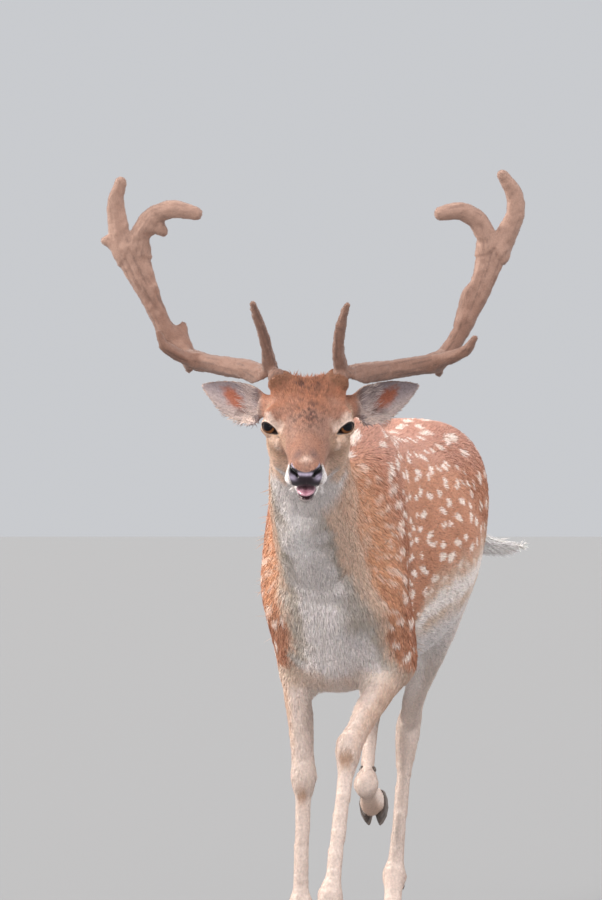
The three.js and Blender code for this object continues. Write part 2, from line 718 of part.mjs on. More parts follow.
const neck = await fleshIn([-110, -490, 540], [120, 75, 900], 8, 560);
const neckAlone = keepBelow(neck, { at: cuts.neckBase.at, normal: opposite(cuts.neckBase.normal) }, cuts.neckTop);
add("neck", neckAlone, finish.fawn);

const tail = await fleshIn([-60, 790, 600], [220, 880, 800], 5, 180);
add("tail", keepBelow(tail, { at: cuts.tailRoot.at, normal: opposite(cuts.tailRoot.normal) }), finish.chestnut);

// ---------------------------------------------------------------- head, ears, eyes, tongue

const eyeAt = (side) => inHead([side * EYE.apart, EYE.forward, EYE.up]);
const oneInHead = (at, radii, [across, down]) =>
  manifoldOf(new THREE.SphereGeometry(1, across, down)
    .applyMatrix4(new THREE.Matrix4().makeScale(...radii).premultiply(headFrame.clone().setPosition(...at))));
const eyeball = (side, more) => oneInHead(eyeAt(side), Array(3).fill(EYE.radius + more), [14, 8]);
const TONGUE = { at: [0, -137, -39.5], radii: [14.5, 25, 5.8] };
const tongueSolid = (more) => oneInHead(inHead(TONGUE.at), TONGUE.radii.map((r) => r + more), [10, 6]);

const headStart = await fleshIn([-100, -680, 645], [150, -320, 935], 4.5, 1040);
const headWhole = [LEFT, RIGHT].reduce(
  (rest, side) => keepBelow(rest, cuts.seat(side), cuts.earRoot(side)).subtract(eyeball(side, 0.9)),
  keepBelow(headStart, { at: cuts.neckTop.at, normal: opposite(cuts.neckTop.normal) }),
).subtract(tongueSolid(0.6));

// The lower jaw is parted from the head along the mouth and behind its corners.
const jawSpace = (more) =>
  manifoldOf(new THREE.BoxGeometry(120, 120 + more, 70 + more)
    .translate(0, MOUTH.back - 60 + more / 2, MOUTH.up - 35 + more / 2)
    .applyMatrix4(headFrame));
add("head", biggest(headWhole.subtract(jawSpace(GAP))), finish.chestnut);
add("lower_jaw", biggest(headWhole.intersect(jawSpace(0))), finish.pale);
add("tongue", tongueSolid(0), finish.tongue);

for (const [name, side] of [["left", LEFT], ["right", RIGHT]]) {
  const { at, normal } = cuts.earRoot(side);
  const ear = manifoldOf(earGeometry(side).applyMatrix4(headFrame));
  add(`eye_${name}`, eyeball(side, 0), finish.eye);
  add(`ear_${name}`, keepBelow(ear, { at, normal: opposite(normal) }), finish.fawn);
}

// ---------------------------------------------------------------- legs

const legs = [
  { name: "foreleg_left", joints: FORE.left, above: "elbow", bend: "knee" },
  { name: "foreleg_right", joints: FORE.right, above: "elbow", bend: "knee" },
  { name: "hindleg_left", joints: HIND.left, above: "gaskin", bend: "hock" },
  { name: "hindleg_right", joints: HIND.right, above: "gaskin", bend: "hock" },
];
const underFloor = { at: [0, 0, 0], normal: [0, 0, -1] };

for (const { name, joints, above, bend } of legs) {
  const foot = footFrame(joints);
  const pastern = pasternFlesh(joints.socket).map((piece) => placed(piece, foot));
  const middle = vec(joints[bend]);
  // The bend is parted where the two bones' mitre lies, a little below the joint.
  const downLeg = vec(joints.fetlock).sub(middle).normalize();
  const mitre = middle.clone().sub(vec(joints[above])).normalize().add(downLeg).normalize();
  const bendCut = { at: middle.clone().addScaledVector(mitre, 14).toArray(), normal: mitre.toArray() };
  const coronetCut = {
    at: vec(coronet.at).applyMatrix4(foot).toArray(),
    normal: vec(coronet.normal).transformDirection(foot).toArray(),
    size: [140, 140],
    depth: 140,
  };

  const [[x0, y0], [x1, y1]] = legCuts[name].walls;
  const low = [Math.max(x0, -200) - 8, y0 - 8, middle.z - 70];
  const high = [Math.min(x1, 200) + 8, y1 + 8, name.startsWith("fore") ? 570 : 790];
  const upper = await fleshIn(low, high, 7, name.startsWith("fore") ? 380 : 620);
  add(`${name}_upper`, keepBelow(upper.intersect(legSpace(legCuts[name], GAP / 2)), bendCut), finish.pale);

  const toe = vec([0, -10, 10]).applyMatrix4(foot);
  const around = new THREE.Box3().setFromPoints([middle, vec(joints.fetlock), toe]);
  around.expandByVector(new THREE.Vector3(34, 62, 40));
  const whole = await fleshIn(around.min.toArray(), around.max.toArray(), 4, 330, pastern);
  const lower = keepBelow(whole, { at: bendCut.at, normal: opposite(bendCut.normal) }, coronetCut);
  const dewclaw = (side, more) => manifoldOf(dewclawGeometry(side, joints.socket, more).applyMatrix4(foot));
  add(`${name}_lower`, biggest(lower.subtract(dewclaw(LEFT, 0.5)).subtract(dewclaw(RIGHT, 0.5))), finish.pale);

  for (const [clawName, side] of [["left", LEFT], ["right", RIGHT]]) {
    const claw = manifoldOf(clawGeometry(side).applyMatrix4(foot)).subtract(block(underFloor, 0));
    add(`hoof_${name}_${clawName}`, claw, finish.horn);
    add(`dewclaw_${name}_${clawName}`, dewclaw(side, 0), finish.horn);
  }
}

// ---------------------------------------------------------------- antlers, parted at their forks

// The plane across a tine, at a share of the way from its first station to its second.
function forkCut(tine, share, size) {
  const [start, next] = tine.map((station) => station.slice(0, 3));
  const normal = vec(next).sub(vec(start)).normalize().toArray();
  return { at: midpoint(start, next, share), normal, size, depth: 300 };
}

for (const [name, side] of [["left", LEFT], ["right", RIGHT]]) {
  const shape = ANTLERS[name];
  const low = [side === LEFT ? 10 : -340, -570, 870];
  const high = [side === LEFT ? 340 : 10, -220, 1250];
  const whole = manifoldOf(await surface(antlerFlesh(shape), boxOf(low, high), 4, 620));
  const seat = cuts.seat(side);
  const notch = midpoint(shape.outer[1], shape.inner[1], 0.5);
  // Each part lies beyond all of its planes.
  const parts = {
    top_tine: [forkCut(shape.outer, 1.2), { at: notch, normal: [side, 0, 0] }],
    front_tine: [forkCut(shape.inner, 0.95), { at: notch, normal: [-side, 0, 0] }],
    palm: [forkCut(shape.palm, 0.05, [160, 260])],
    trez_tine: [forkCut(shape.trez, 0.6, [48, 48])],
    brow_tine: [forkCut(shape.brow, 0.5, [60, 60])],
  };
  let rest = keepBelow(whole, { at: seat.at, normal: opposite(seat.normal), size: [150, 150], depth: 120 });
  for (const [part, planes] of Object.entries(parts)) {
    const space = (shift) => planes.map((plane) => block(plane, shift)).reduce((a, b) => a.intersect(b));
    add(`antler_${name}_${part}`, biggest(rest.intersect(space(GAP / 2))), finish.velvet);
    rest = biggest(rest.subtract(space(-GAP / 2)));
  }
  add(`antler_${name}_beam`, rest, finish.velvet);
}

// The part's frame: the middle of the bounding box on the floor.
const bounds = new THREE.Box3().setFromObject(deer, true);
const middleOf = bounds.getCenter(new THREE.Vector3());
for (const mesh of deer.children) mesh.geometry.translate(-middleOf.x, -middleOf.y, 0);

export default deer;
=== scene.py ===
# %% [markdown]
# # A fallow buck in velvet
#
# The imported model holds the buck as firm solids, and their surface is where the tips of its hair end.
# This lesson dresses them. One skin takes the place of all the flesh, a coat of small solid tufts
# grows on it, and the eyes, antlers, hooves and tongue get their own finish. A plain studio and a
# camera come last.

# %% Load the solids
import math

import bpy
import numpy as np
from mathutils import Matrix, Vector
from mathutils.bvhtree import BVHTree


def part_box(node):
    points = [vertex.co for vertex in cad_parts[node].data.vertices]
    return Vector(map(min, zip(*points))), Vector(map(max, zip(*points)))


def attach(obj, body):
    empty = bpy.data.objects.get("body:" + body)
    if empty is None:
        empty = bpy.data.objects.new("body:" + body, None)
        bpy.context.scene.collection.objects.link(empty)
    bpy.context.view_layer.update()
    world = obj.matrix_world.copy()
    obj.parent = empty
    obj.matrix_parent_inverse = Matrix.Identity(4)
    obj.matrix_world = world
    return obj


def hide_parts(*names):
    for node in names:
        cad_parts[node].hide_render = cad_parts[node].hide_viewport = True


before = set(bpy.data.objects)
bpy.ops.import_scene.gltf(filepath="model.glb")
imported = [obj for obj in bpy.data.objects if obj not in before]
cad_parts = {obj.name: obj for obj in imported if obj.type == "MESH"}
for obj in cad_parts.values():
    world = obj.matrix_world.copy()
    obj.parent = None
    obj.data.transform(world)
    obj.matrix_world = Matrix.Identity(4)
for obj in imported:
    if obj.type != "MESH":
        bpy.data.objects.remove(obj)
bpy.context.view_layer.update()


def rounded(values):
    return [round(float(value), 3) for value in values]


# %% [markdown]
# Everything on the head is measured from a frame of its own: the origin lies midway between the
# eyes, x runs to the buck's left, the nose points along -y and z is up over the brow. The eyes give
# the place and the turn. Only the tilt of the nose has to be named.

# %% The head's own frame
NOSE_DOWN = math.radians(23)
SEAT = (48, 50, 64)  # in the head's frame, in millimetres, where an antler stands on the head
EYE_OFFSET = Vector((0, -0.002, 0.001))  # the eyes' midpoint, seen from the head's origin
MM = 0.001


def middle(node):
    """The middle of a CAD node's box."""
    low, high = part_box(node)
    return (low + high) / 2


across = middle("eye_left") - middle("eye_right")
head_turn = Matrix.Rotation(math.atan2(across.y, across.x), 3, "Z") @ Matrix.Rotation(NOSE_DOWN, 3, "X")
head_at = (middle("eye_left") + middle("eye_right")) / 2 - head_turn @ EYE_OFFSET
HEAD_AXES = np.array(head_turn)
HEAD_AT = np.array(head_at)


def in_head(places):
    """Places in the row frame, in metres, as places in the head's frame, in millimetres."""
    return (places - HEAD_AT) @ HEAD_AXES / MM


def from_head(place):
    """A place in the head's frame, in millimetres, as a place in the row frame, in metres."""
    return HEAD_AXES @ (np.asarray(place, float) * MM) + HEAD_AT


def to_left(local):
    """What turns places on the right side of the head's frame into their twins on the left."""
    return np.where(local[:, :1] < 0, (-1, 1, 1), (1, 1, 1))


def folded(local):
    """Places in the head's frame, with those on the right side moved to their twins on the left."""
    return local * to_left(local)


print("the head is turned", round(math.degrees(math.atan2(across.y, across.x)), 1), "degrees")

# %% [markdown]
# The camera stands nine and a half metres in front of the buck's eyes, a little to its left and
# nearly at their height, and looks level through a long lens. That far away, the near head and the
# far rump keep their true sizes.

# %% The camera
VIEW_TURN = math.radians(8)
CAMERA_FROM_EYES = Vector((1.3122, -9.4098, -0.0341))
LENS = 260
SENSOR = 36
FARTHEST = 60

bpy.ops.object.camera_add(
    location=(middle("eye_left") + middle("eye_right")) / 2 + CAMERA_FROM_EYES,
    rotation=(math.radians(90), 0, VIEW_TURN),
)
camera = bpy.context.object
camera.name = "camera"
camera.data.lens = LENS
camera.data.sensor_fit = "VERTICAL"
camera.data.sensor_height = SENSOR
camera.data.clip_end = FARTHEST
bpy.context.scene.camera = camera
print("the camera stands at", rounded(camera.location))

# %% [markdown]
# ## The skin
#
# The flesh comes as fifteen solids with thin cuts between them. A voxel remesh melts copies of them
# into one closed surface, and the cuts are too thin for it to see. Fine voxels all over would make
# far too many faces, so the head and ears get fine ones, the rest gets coarse ones, and the two
# shells are cut through the upper neck and bridged there.

# %% Melt the flesh into two shells
LEGS = ["foreleg_left", "foreleg_right", "hindleg_left", "hindleg_right"]
BODY_FLESH = ["trunk", "neck", "tail"] + [f"{leg}_{half}" for leg in LEGS for half in ("upper", "lower")]
BODY_VOXEL = 0.0060
HEAD_VOXEL = 0.0027
EAR_PADDING = 0.0024
MERGE_WITHIN = 1e-6


def read(items, what, width=3, kind=float):
    """One property of all these vertices, edges or faces, a row for each."""
    values = np.empty(len(items) * width, kind)
    items.foreach_get(what, values)
    return values.reshape(-1, width)


def points_of(mesh):
    return read(mesh.vertices, "co")


def normals_of(mesh):
    return read(mesh.vertices, "normal")


def triangles_in(mesh):
    return sum(len(face.vertices) - 2 for face in mesh.polygons)


def set_points(mesh, co):
    mesh.vertices.foreach_set("co", np.ascontiguousarray(co, np.float32).ravel())
    mesh.update()


def pick(*objects):
    """Selects these objects alone and makes the last one active."""
    bpy.ops.object.select_all(action="DESELECT")
    for each in objects:
        each.select_set(True)
    bpy.context.view_layer.objects.active = objects[-1]


def edit(thing, step, **values):
    """Takes one step of edit mode on all of a thing."""
    pick(thing)
    bpy.ops.object.mode_set(mode="EDIT")
    bpy.ops.mesh.select_all(action="SELECT")
    step(**values)
    bpy.ops.object.mode_set(mode="OBJECT")


def edit_faces(thing, chosen, kind, step, **values):
    """Takes one step of edit mode on these faces of a thing alone."""
    pick(thing)
    bpy.ops.object.mode_set(mode="EDIT")
    bpy.ops.mesh.select_mode(type=kind)
    bpy.ops.mesh.select_all(action="DESELECT")
    bpy.ops.object.mode_set(mode="OBJECT")
    thing.data.polygons.foreach_set("select", chosen)
    bpy.ops.object.mode_set(mode="EDIT")
    step(**values)
    bpy.ops.object.mode_set(mode="OBJECT")


def copy_of(nodes, name):
    """One object made of copies of CAD nodes, with their loose triangles merged."""
    copies = []
    for node in nodes:
        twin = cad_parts[node].copy()
        twin.data = twin.data.copy()
        twin.parent = None
        for key in list(twin.keys()):
            del twin[key]
        bpy.context.scene.collection.objects.link(twin)
        copies.append(twin)
    pick(*copies)
    bpy.ops.object.join()
    whole = bpy.context.object
    whole.name = whole.data.name = name
    whole.data.materials.clear()
    edit(whole, bpy.ops.mesh.remove_doubles, threshold=MERGE_WITHIN)
    return whole


def melt(shell, voxel):
    """Makes one closed surface of everything in a shell, out of voxels of this size."""
    pick(shell)
    remesh = shell.modifiers.new("melt", "REMESH")
    remesh.mode = "VOXEL"
    remesh.voxel_size = voxel
    bpy.ops.object.modifier_apply(modifier=remesh.name)
    print(shell.name, "melted to", len(shell.data.polygons), "faces")
    return shell


def thicken(thing, more):
    """Moves every vertex outwards, so that a thin leaf survives the voxels."""
    set_points(thing.data, points_of(thing.data) + more * normals_of(thing.data))
    return thing


ears = thicken(copy_of(["ear_left", "ear_right"], "ears"), EAR_PADDING)
head_shell = copy_of(["head", "lower_jaw", "neck", "eye_left", "eye_right"], "skin")
pick(ears, head_shell)
bpy.ops.object.join()
head_shell = melt(head_shell, HEAD_VOXEL)
body_shell = melt(copy_of(BODY_FLESH, "body_shell"), BODY_VOXEL)

# %% [markdown]
# A union would join the two shells as well, but it would leave their coarse and fine faces crossing
# each other in a ragged ring. A flat cut leaves two clean loops, six millimetres apart, and a bridge
# of faces between them closes the skin.

# %% Cut both shells through the neck and bridge them
NECK_CUT = Vector((0, 0.178, 0))  # in the head's frame, just behind the tips of the ears
BRIDGE = 0.006
LOWEST_NECK = 0.56


def cut_neck(shell, place, keep_front):
    """Cuts a shell by a plane across the neck. Only what is as high as the neck is cut."""
    edit_faces(
        shell, read(shell.data.polygons, "center")[:, 2] > LOWEST_NECK, "VERT", bpy.ops.mesh.bisect,
        plane_co=head_at + head_turn @ place, plane_no=head_turn @ Vector((0, 1, 0)),
        clear_outer=keep_front, clear_inner=not keep_front,
    )


cut_neck(head_shell, NECK_CUT, True)
cut_neck(body_shell, NECK_CUT + Vector((0, BRIDGE, 0)), False)
pick(body_shell, head_shell)
bpy.ops.object.join()
skin = bpy.context.object
bpy.ops.object.mode_set(mode="EDIT")
bpy.ops.mesh.select_mode(type="EDGE")
bpy.ops.mesh.select_all(action="DESELECT")
bpy.ops.mesh.select_non_manifold(
    use_wire=False, use_boundary=True, use_multi_face=False, use_non_contiguous=False, use_verts=False
)
bpy.ops.mesh.bridge_edge_loops()
bpy.ops.object.mode_set(mode="OBJECT")
print("the skin has", len(skin.data.polygons), "faces")

# %% [markdown]
# The melted skin still shows the flat facets of the solids. Each vertex is moved towards the middle
# of its neighbours and then almost as far back, again and again. This takes out short waves and
# keeps the long ones, so the body doesn't shrink. Blender's own smoothing modifiers do it one way
# only, and here the strength also changes from place to place.

# %% Smooth the facets away
SMOOTH_IN, SMOOTH_OUT = 0.6, -0.612


def unit(vectors):
    return vectors / np.maximum(np.linalg.norm(vectors, axis=-1, keepdims=True), 1e-9)


def ramp(low, high, value):
    """0 below low, 1 above high, and a soft step between them. High may be the smaller one."""
    t = np.clip((value - low) / (high - low), 0, 1)
    return t * t * (3 - 2 * t)


def bump_at(value, middle, reach):
    """1 at the middle, and softly less on both sides of it."""
    return np.exp(-(((value - middle) / reach) ** 2))


class Neighbours:
    """Who is joined to whom in a mesh: all ends of all edges, sorted by the vertex they start from."""

    def __init__(self, mesh):
        ends = read(mesh.edges, "vertices", 2, np.int64)
        ends = np.concatenate([ends, ends[:, ::-1]])
        ends = ends[np.argsort(ends[:, 0], kind="stable")]
        self.far_ends = ends[:, 1]
        self.share = np.bincount(ends[:, 0], minlength=len(mesh.vertices))
        self.first = np.cumsum(self.share) - self.share

    def mean(self, values):
        """The mean of each vertex's neighbours."""
        total = np.add.reduceat(values[self.far_ends], self.first, axis=0)
        return total / self.share.reshape(-1, *[1] * (values.ndim - 1))

    def smooth(self, values, turns, strength=1.0):
        """Takes out the short waves and keeps the long ones."""
        for _ in range(turns):
            for way in (SMOOTH_IN, SMOOTH_OUT):
                values = values + way * strength * (self.mean(values) - values)
        return values

    def blur(self, values, turns):
        """Evens out numbers kept at the vertices."""
        for _ in range(turns):
            values = 0.5 * values + 0.5 * self.mean(values)
        return values

    def relax(self, values, strength, turns):
        """Draws places in towards their neighbours, which also takes out the long waves."""
        for _ in range(turns):
            values = values + 0.5 * strength[:, None] * (self.mean(values) - values)
        return values


print("each turn of smoothing goes", SMOOTH_IN, "of the way in and", -SMOOTH_OUT, "back out")

# %% [markdown]
# ## The lie of the coat
#
# Hair runs from the nose back over the head, down the neck, back along the trunk and down each leg.
# A short table of lines through the body says this: each line has a direction, how far it reaches,
# and what the hair is like near it. Every place on the skin takes a blend of the lines around it,
# and that gives the lie, length, width and depth of its hair.

# %% The lines that the hair follows
# hair: its length, its width, the depth of the coat and the spacing of the tufts, all in metres
TRUNK_HAIR = (0.0140, 0.00129, 0.0028, 0.00220)
FACE_HAIR = (0.0060, 0.00076, 0.0013, 0.00137)
LIP_HAIR = (0.0040, 0.00061, 0.0008, 0.00122)
# a line: its start, its end, how far it reaches, and the hair near it
BODY_LINES = {
    "withers": ((0.01, -0.16, 0.84), (0.01, 0.12, 0.83), 0.09, 0.0150, 0.00129, 0.0030, 0.00220),
    "back": ((0.01, 0.12, 0.84), (0.01, 0.58, 0.83), 0.10, *TRUNK_HAIR),
    "nape": ((0.03, -0.40, 0.86), (0.01, -0.16, 0.83), 0.08, 0.0160, 0.00129, 0.0034, 0.00220),
    "throat": ((0.02, -0.49, 0.71), (0.01, -0.36, 0.60), 0.09, 0.0120, 0.00085, 0.0016, 0.00180),
    "breast": ((0.01, -0.36, 0.60), (0.01, -0.20, 0.42), 0.10, 0.0150, 0.00100, 0.0024, 0.00195),
    "belly": ((0.01, -0.15, 0.42), (0.01, 0.50, 0.45), 0.12, 0.0200, 0.00137, 0.0038, 0.00243),
    "rump": ((0.01, 0.58, 0.80), (0.01, 0.68, 0.66), 0.09, 0.0150, 0.00129, 0.0030, 0.00220),
    "tail_root": ((0.01, 0.64, 0.76), (0.04, 0.736, 0.72), 0.035, 0.0240, 0.00140, 0.0050, 0.00228),
    "tail_end": ((0.05, 0.738, 0.69), (0.21, 0.738, 0.64), 0.035, 0.0260, 0.00130, 0.0050, 0.00228),
}
SIDE_LINES = {  # mirrored to the other side
    "neck_side": ((0.08, -0.46, 0.80), (0.09, -0.24, 0.66), 0.08, 0.0150, 0.00122, 0.0031, 0.00213),
    "shoulder": ((0.11, -0.22, 0.76), (0.13, -0.13, 0.52), 0.08, *TRUNK_HAIR),
    "ribs": ((0.16, -0.06, 0.66), (0.17, 0.36, 0.62), 0.12, *TRUNK_HAIR),
    "low_ribs": ((0.12, -0.06, 0.50), (0.13, 0.36, 0.50), 0.10, 0.0160, 0.00129, 0.0031, 0.00228),
    "haunch": ((0.12, 0.40, 0.74), (0.12, 0.56, 0.56), 0.11, *TRUNK_HAIR),
    "buttock": ((0.08, 0.64, 0.74), (0.08, 0.60, 0.52), 0.07, 0.0150, 0.00129, 0.0029, 0.00220),
}
LEG_LINES = {  # joints from the top down
    "foreleg_left": (
        (0.098, -0.104, 0.487), (0.039, -0.242, 0.350), (0.016, -0.288, 0.125), (0.016, -0.290, 0.03),
    ),
    "foreleg_right": (
        (-0.068, -0.070, 0.496), (-0.056, -0.061, 0.300), (-0.064, -0.042, 0.091), (-0.064, -0.09, 0.02),
    ),
    "hindleg_left": (
        (0.095, 0.372, 0.510), (0.057, 0.462, 0.422), (0.031, 0.549, 0.346), (0.011, 0.526, 0.104),
        (0.011, 0.48, 0.02),
    ),
    "hindleg_right": (
        (-0.083, 0.328, 0.545), (-0.045, 0.424, 0.470), (-0.021, 0.509, 0.405), (-0.011, 0.340, 0.262),
        (-0.011, 0.42, 0.24),
    ),
}
LEG_HAIR = [
    (0.055, 0.0095, 0.00095, 0.0013, 0.00190),
    (0.040, 0.0064, 0.00075, 0.0007, 0.00165),
    (0.034, 0.0056, 0.00066, 0.0006, 0.00155),
    (0.034, 0.0056, 0.00066, 0.0006, 0.00155),
]
HEAD_LINES = {  # in the head's frame, in millimetres
    "nose": ((0, -150, 10), (0, -60, 26), 30, *LIP_HAIR),
    "face": ((0, -60, 26), (0, 20, 50), 40, *FACE_HAIR),
    "crown": ((0, 20, 50), (0, 110, 60), 45, 0.0110, 0.00099, 0.0032, 0.00175),
    "chin": ((0, -130, -58), (0, -40, -80), 28, 0.0045, 0.00066, 0.0009, 0.00130),
    "under_jaw": ((0, -40, -80), (0, 70, -120), 50, 0.0095, 0.00080, 0.0014, 0.00165),
}
HEAD_SIDE_LINES = {
    "lip": ((24, -140, -22), (34, -80, -24), 20, *LIP_HAIR),
    "cheek": ((40, -80, -20), (66, 20, -30), 30, *FACE_HAIR),
    "jaw": ((30, -70, -62), (52, 50, -72), 30, 0.0080, 0.00084, 0.0017, 0.00152),
    "temple": ((52, -10, 20), (62, 60, 10), 26, *FACE_HAIR),
    "ear": ((64, 84, -3), (162, 162, -1), 30, 0.0036, 0.00056, 0.0004, 0.00125),
}


LENGTH, WIDTH, DEPTH, SPACING = range(4)  # the columns of what lie_at says about the hair
LINE_CORE = 0.05  # keeps the weight of a line finite on the line itself


def body_line(start, end, *rest):
    """A line given in the row frame, in metres."""
    return (np.array(start), np.array(end), *rest)


def head_line(start, end, reach, *rest):
    """A line given in the head's frame, in millimetres, as one in the row frame."""
    return (from_head(start), from_head(end), reach * MM, *rest)


def other_side(point):
    return (-point[0], *point[1:])


lines = [body_line(*line) for line in BODY_LINES.values()]
for start, end, *rest in SIDE_LINES.values():
    lines += [body_line(start, end, *rest), body_line(other_side(start), other_side(end), *rest)]
for joints in LEG_LINES.values():
    hair = LEG_HAIR if len(joints) == 5 else LEG_HAIR[:1] + LEG_HAIR[2:]
    lines += [body_line(a, b, *rest) for a, b, rest in zip(joints, joints[1:], hair)]
lines += [head_line(*line) for line in HEAD_LINES.values()]
for start, end, *rest in HEAD_SIDE_LINES.values():
    lines += [head_line(start, end, *rest), head_line(other_side(start), other_side(end), *rest)]


def lie_at(places):
    """The direction of the hair at these places, and its length, width, depth and spacing."""
    total = np.zeros((len(places), 8))
    for start, end, reach, *hair in lines:
        along = end - start
        share = np.clip((places - start) @ along / (along @ along), 0, 1)
        far = np.linalg.norm(places - start - share[:, None] * along, axis=1) / reach
        weight = 1 / (far**2 + LINE_CORE) ** 2
        row = np.concatenate([along / np.linalg.norm(along), hair, [1.0]])
        total += weight[:, None] * row
    total /= total[:, -1:]
    return unit(total[:, :3]), total[:, 3:7]


print("the coat follows", len(lines), "lines")

# %% [markdown]
# The wide, even trunk can be smoothed far more than the thin legs or the finely shaped head. The
# sole of each antler, the hooves and the dewclaws need the skin to stay right where it is, so near
# them it isn't sunk at all.

# %% Smooth the skin and sink it below the tips of its hair
FINE_TURNS, TRUNK_TURNS, FACE_TURNS = 60, 60, 14
EAR_LEAF_DEPTH = 0.0005
THICK_COAT = (0.0023, 0.0028)  # only the trunk and neck have hair this deep
HORN_CLEAR = 0.012
HORNS = [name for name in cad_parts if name.endswith("beam") or name.startswith(("hoof", "dewclaw"))]


def near_node(places, node, reach):
    """1 inside the node's box, falling to 0 at this distance from it."""
    low, high = (np.array(corner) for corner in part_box(node))
    away = np.maximum(np.maximum(low - places, places - high), 0)
    return ramp(reach, 0.2 * reach, np.linalg.norm(away, axis=1))


around = Neighbours(skin.data)
print("joined to at least", around.share.min(), "and at most", around.share.max(), "others")
co = points_of(skin.data)
local = in_head(co)
high = co[:, 2] > LOWEST_NECK
on_head = ramp(190, 160, local[:, 1]) * high
ear_part = ramp(72, 80, np.abs(local[:, 0])) * high * (local[:, 1] > 60) * (local[:, 1] < 176)
on_tail = near_node(co, "tail", 0.02)
_, hair = lie_at(co)
on_trunk = ramp(*THICK_COAT, hair[:, DEPTH]) * (1 - on_head) * (1 - on_tail)
on_face = on_head * (1 - ear_part)

co = around.smooth(co, FINE_TURNS)
co = around.relax(co, on_trunk, TRUNK_TURNS)
co = around.relax(co, on_face, FACE_TURNS)
set_points(skin.data, co)

depth = around.blur(hair[:, DEPTH], 4) * (1 - ear_part)
for node in HORNS:
    depth = depth * (1 - near_node(co, node, HORN_CLEAR))
depth = around.blur(depth, 3)
co = co - depth[:, None] * normals_of(skin.data)
print("the skin lies", round(depth.mean() / MM, 1), "mm deep on average")

# %% [markdown]
# The ears were padded so that the voxels could hold them. Now each of their vertices goes to the
# nearest point of the thin ear that the solids give, rounded by a subdivision. Towards the root the
# pull fades out, and the padded shape runs smoothly into the head.

# %% Bring the ears back to their thickness
EAR_PULL = (80, 98)  # across the head, in millimetres: where the pull begins and where it is full
EAR_ROOT_TURNS, EAR_TURNS = 6, 8

thin_ears = copy_of(["ear_left", "ear_right"], "thin_ears")
pick(thin_ears)
rounding = thin_ears.modifiers.new("rounding", "SUBSURF")
rounding.levels = rounding.render_levels = 2
bpy.ops.object.modifier_apply(modifier=rounding.name)
ear_tree = BVHTree.FromPolygons(
    [v.co for v in thin_ears.data.vertices], [p.vertices for p in thin_ears.data.polygons]
)
bpy.data.objects.remove(thin_ears)
pull = ramp(*EAR_PULL, np.abs(local[:, 0])) * high * (local[:, 1] > 60) * (local[:, 1] < 190)
for i in np.flatnonzero(pull):
    place, normal, *_ = ear_tree.find_nearest(Vector(co[i]))
    thin = np.array(place - EAR_LEAF_DEPTH * normal)
    co[i] += pull[i] * (thin - co[i])
ear_part = np.maximum(ear_part, pull)
co = around.relax(co, ear_part * (1 - pull), EAR_ROOT_TURNS)
co = around.smooth(co, EAR_TURNS, pull[:, None])
set_points(skin.data, co)
print("the ears have", int((pull > 0).sum()), "vertices")

# %% [markdown]
# ## The face
#
# Lids, nostrils and lips need far smaller faces than the rest, so only the faces near them are
# subdivided, twice round the eyes, once round the nose and once more round the nostrils.

# %% Subdivide round the eyes and the muzzle
EYE_PLACES = [in_head(np.array([middle(name)]))[0] for name in ("eye_left", "eye_right")]
EYE_RADIUS = (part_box("eye_left")[1].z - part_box("eye_left")[0].z) / 2 / MM
MUZZLE = np.array([0, -142, -22])
NOSTRILS = [np.array([side * 17, -152, -6]) for side in (1, -1)]


def subdivide_near(spots, reach):
    """Cuts every face of the skin near these places, in the head's frame, into smaller ones."""
    places = in_head(read(skin.data.polygons, "center"))
    near = np.any([np.linalg.norm(places - spot, axis=1) < reach for spot in spots], axis=0)
    edit_faces(skin, near, "FACE", bpy.ops.mesh.subdivide, number_cuts=1)


for spots, reach in ((EYE_PLACES, 31), (EYE_PLACES, 24), ([MUZZLE], 36), (NOSTRILS, 13)):
    subdivide_near(spots, reach)
around = Neighbours(skin.data)
co = points_of(skin.data)
local = in_head(co)
print("the skin has", len(skin.data.polygons), "faces")

# %% [markdown]
# An eyelid is skin drawn over the eyeball. Round each eye the skin is described by direction: how
# far round from the nose, and how far up. Inside the almond between the lids it is pressed in
# behind the eyeball, and outside it is lifted just clear of it.

# %% Draw the lids over the eyes
LID_MIDDLE, LID_HALF = 36.0, 56.0  # degrees round from the nose to the side
LID_UP, LID_DOWN = 31.0, 18.0  # degrees that the eye opens above and below
LID_TILT = 15.0  # degrees that the inner corner lies below the outer one
LID_THICK = 1.5
EYE_HOLLOW = 4.0
LID_TURNS = 20


def lid_angle(places, side):
    """Degrees outside the edge of the lids, less than 0 between them, and the distance to the eye."""
    away = places - EYE_PLACES[0 if side > 0 else 1]
    far = np.maximum(np.linalg.norm(away, axis=1), 1e-6)
    round_to = np.degrees(np.arctan2(side * away[:, 0], -away[:, 1]))
    up = np.degrees(np.arcsin(np.clip(away[:, 2] / far, -1, 1)))
    u = (round_to - LID_MIDDLE) / LID_HALF
    arch = np.clip(1 - u**2, 0, 1) ** 0.75
    level = 2 + LID_TILT * u / 2
    above = np.where(up > level, up - level - LID_UP * arch, level - up - LID_DOWN * arch)
    beyond = (np.abs(u) - 1) * LID_HALF
    return np.where(beyond > 0, np.hypot(np.maximum(beyond, 0), np.maximum(above, 0)), above), far


def shape_eye(local, side):
    """Presses the skin in behind the eyeball between the lids, and lifts it over it elsewhere."""
    outside, far = lid_angle(local, side)
    near = ramp(42, 26, far)
    centre = EYE_PLACES[0 if side > 0 else 1]
    lifted = EYE_RADIUS + LID_THICK * ramp(-3, 4, outside) + 0.06 * np.clip(outside, 0, 14)
    cover = ramp(84, 10, outside)
    target = np.where(far < lifted, far + (lifted - far) * cover, far)
    opening = ramp(2.5, -2.5, outside)
    target = target + opening * (EYE_RADIUS - EYE_HOLLOW - target)
    scale = 1 + near * (target / far - 1)
    return centre + (local - centre) * scale[:, None]


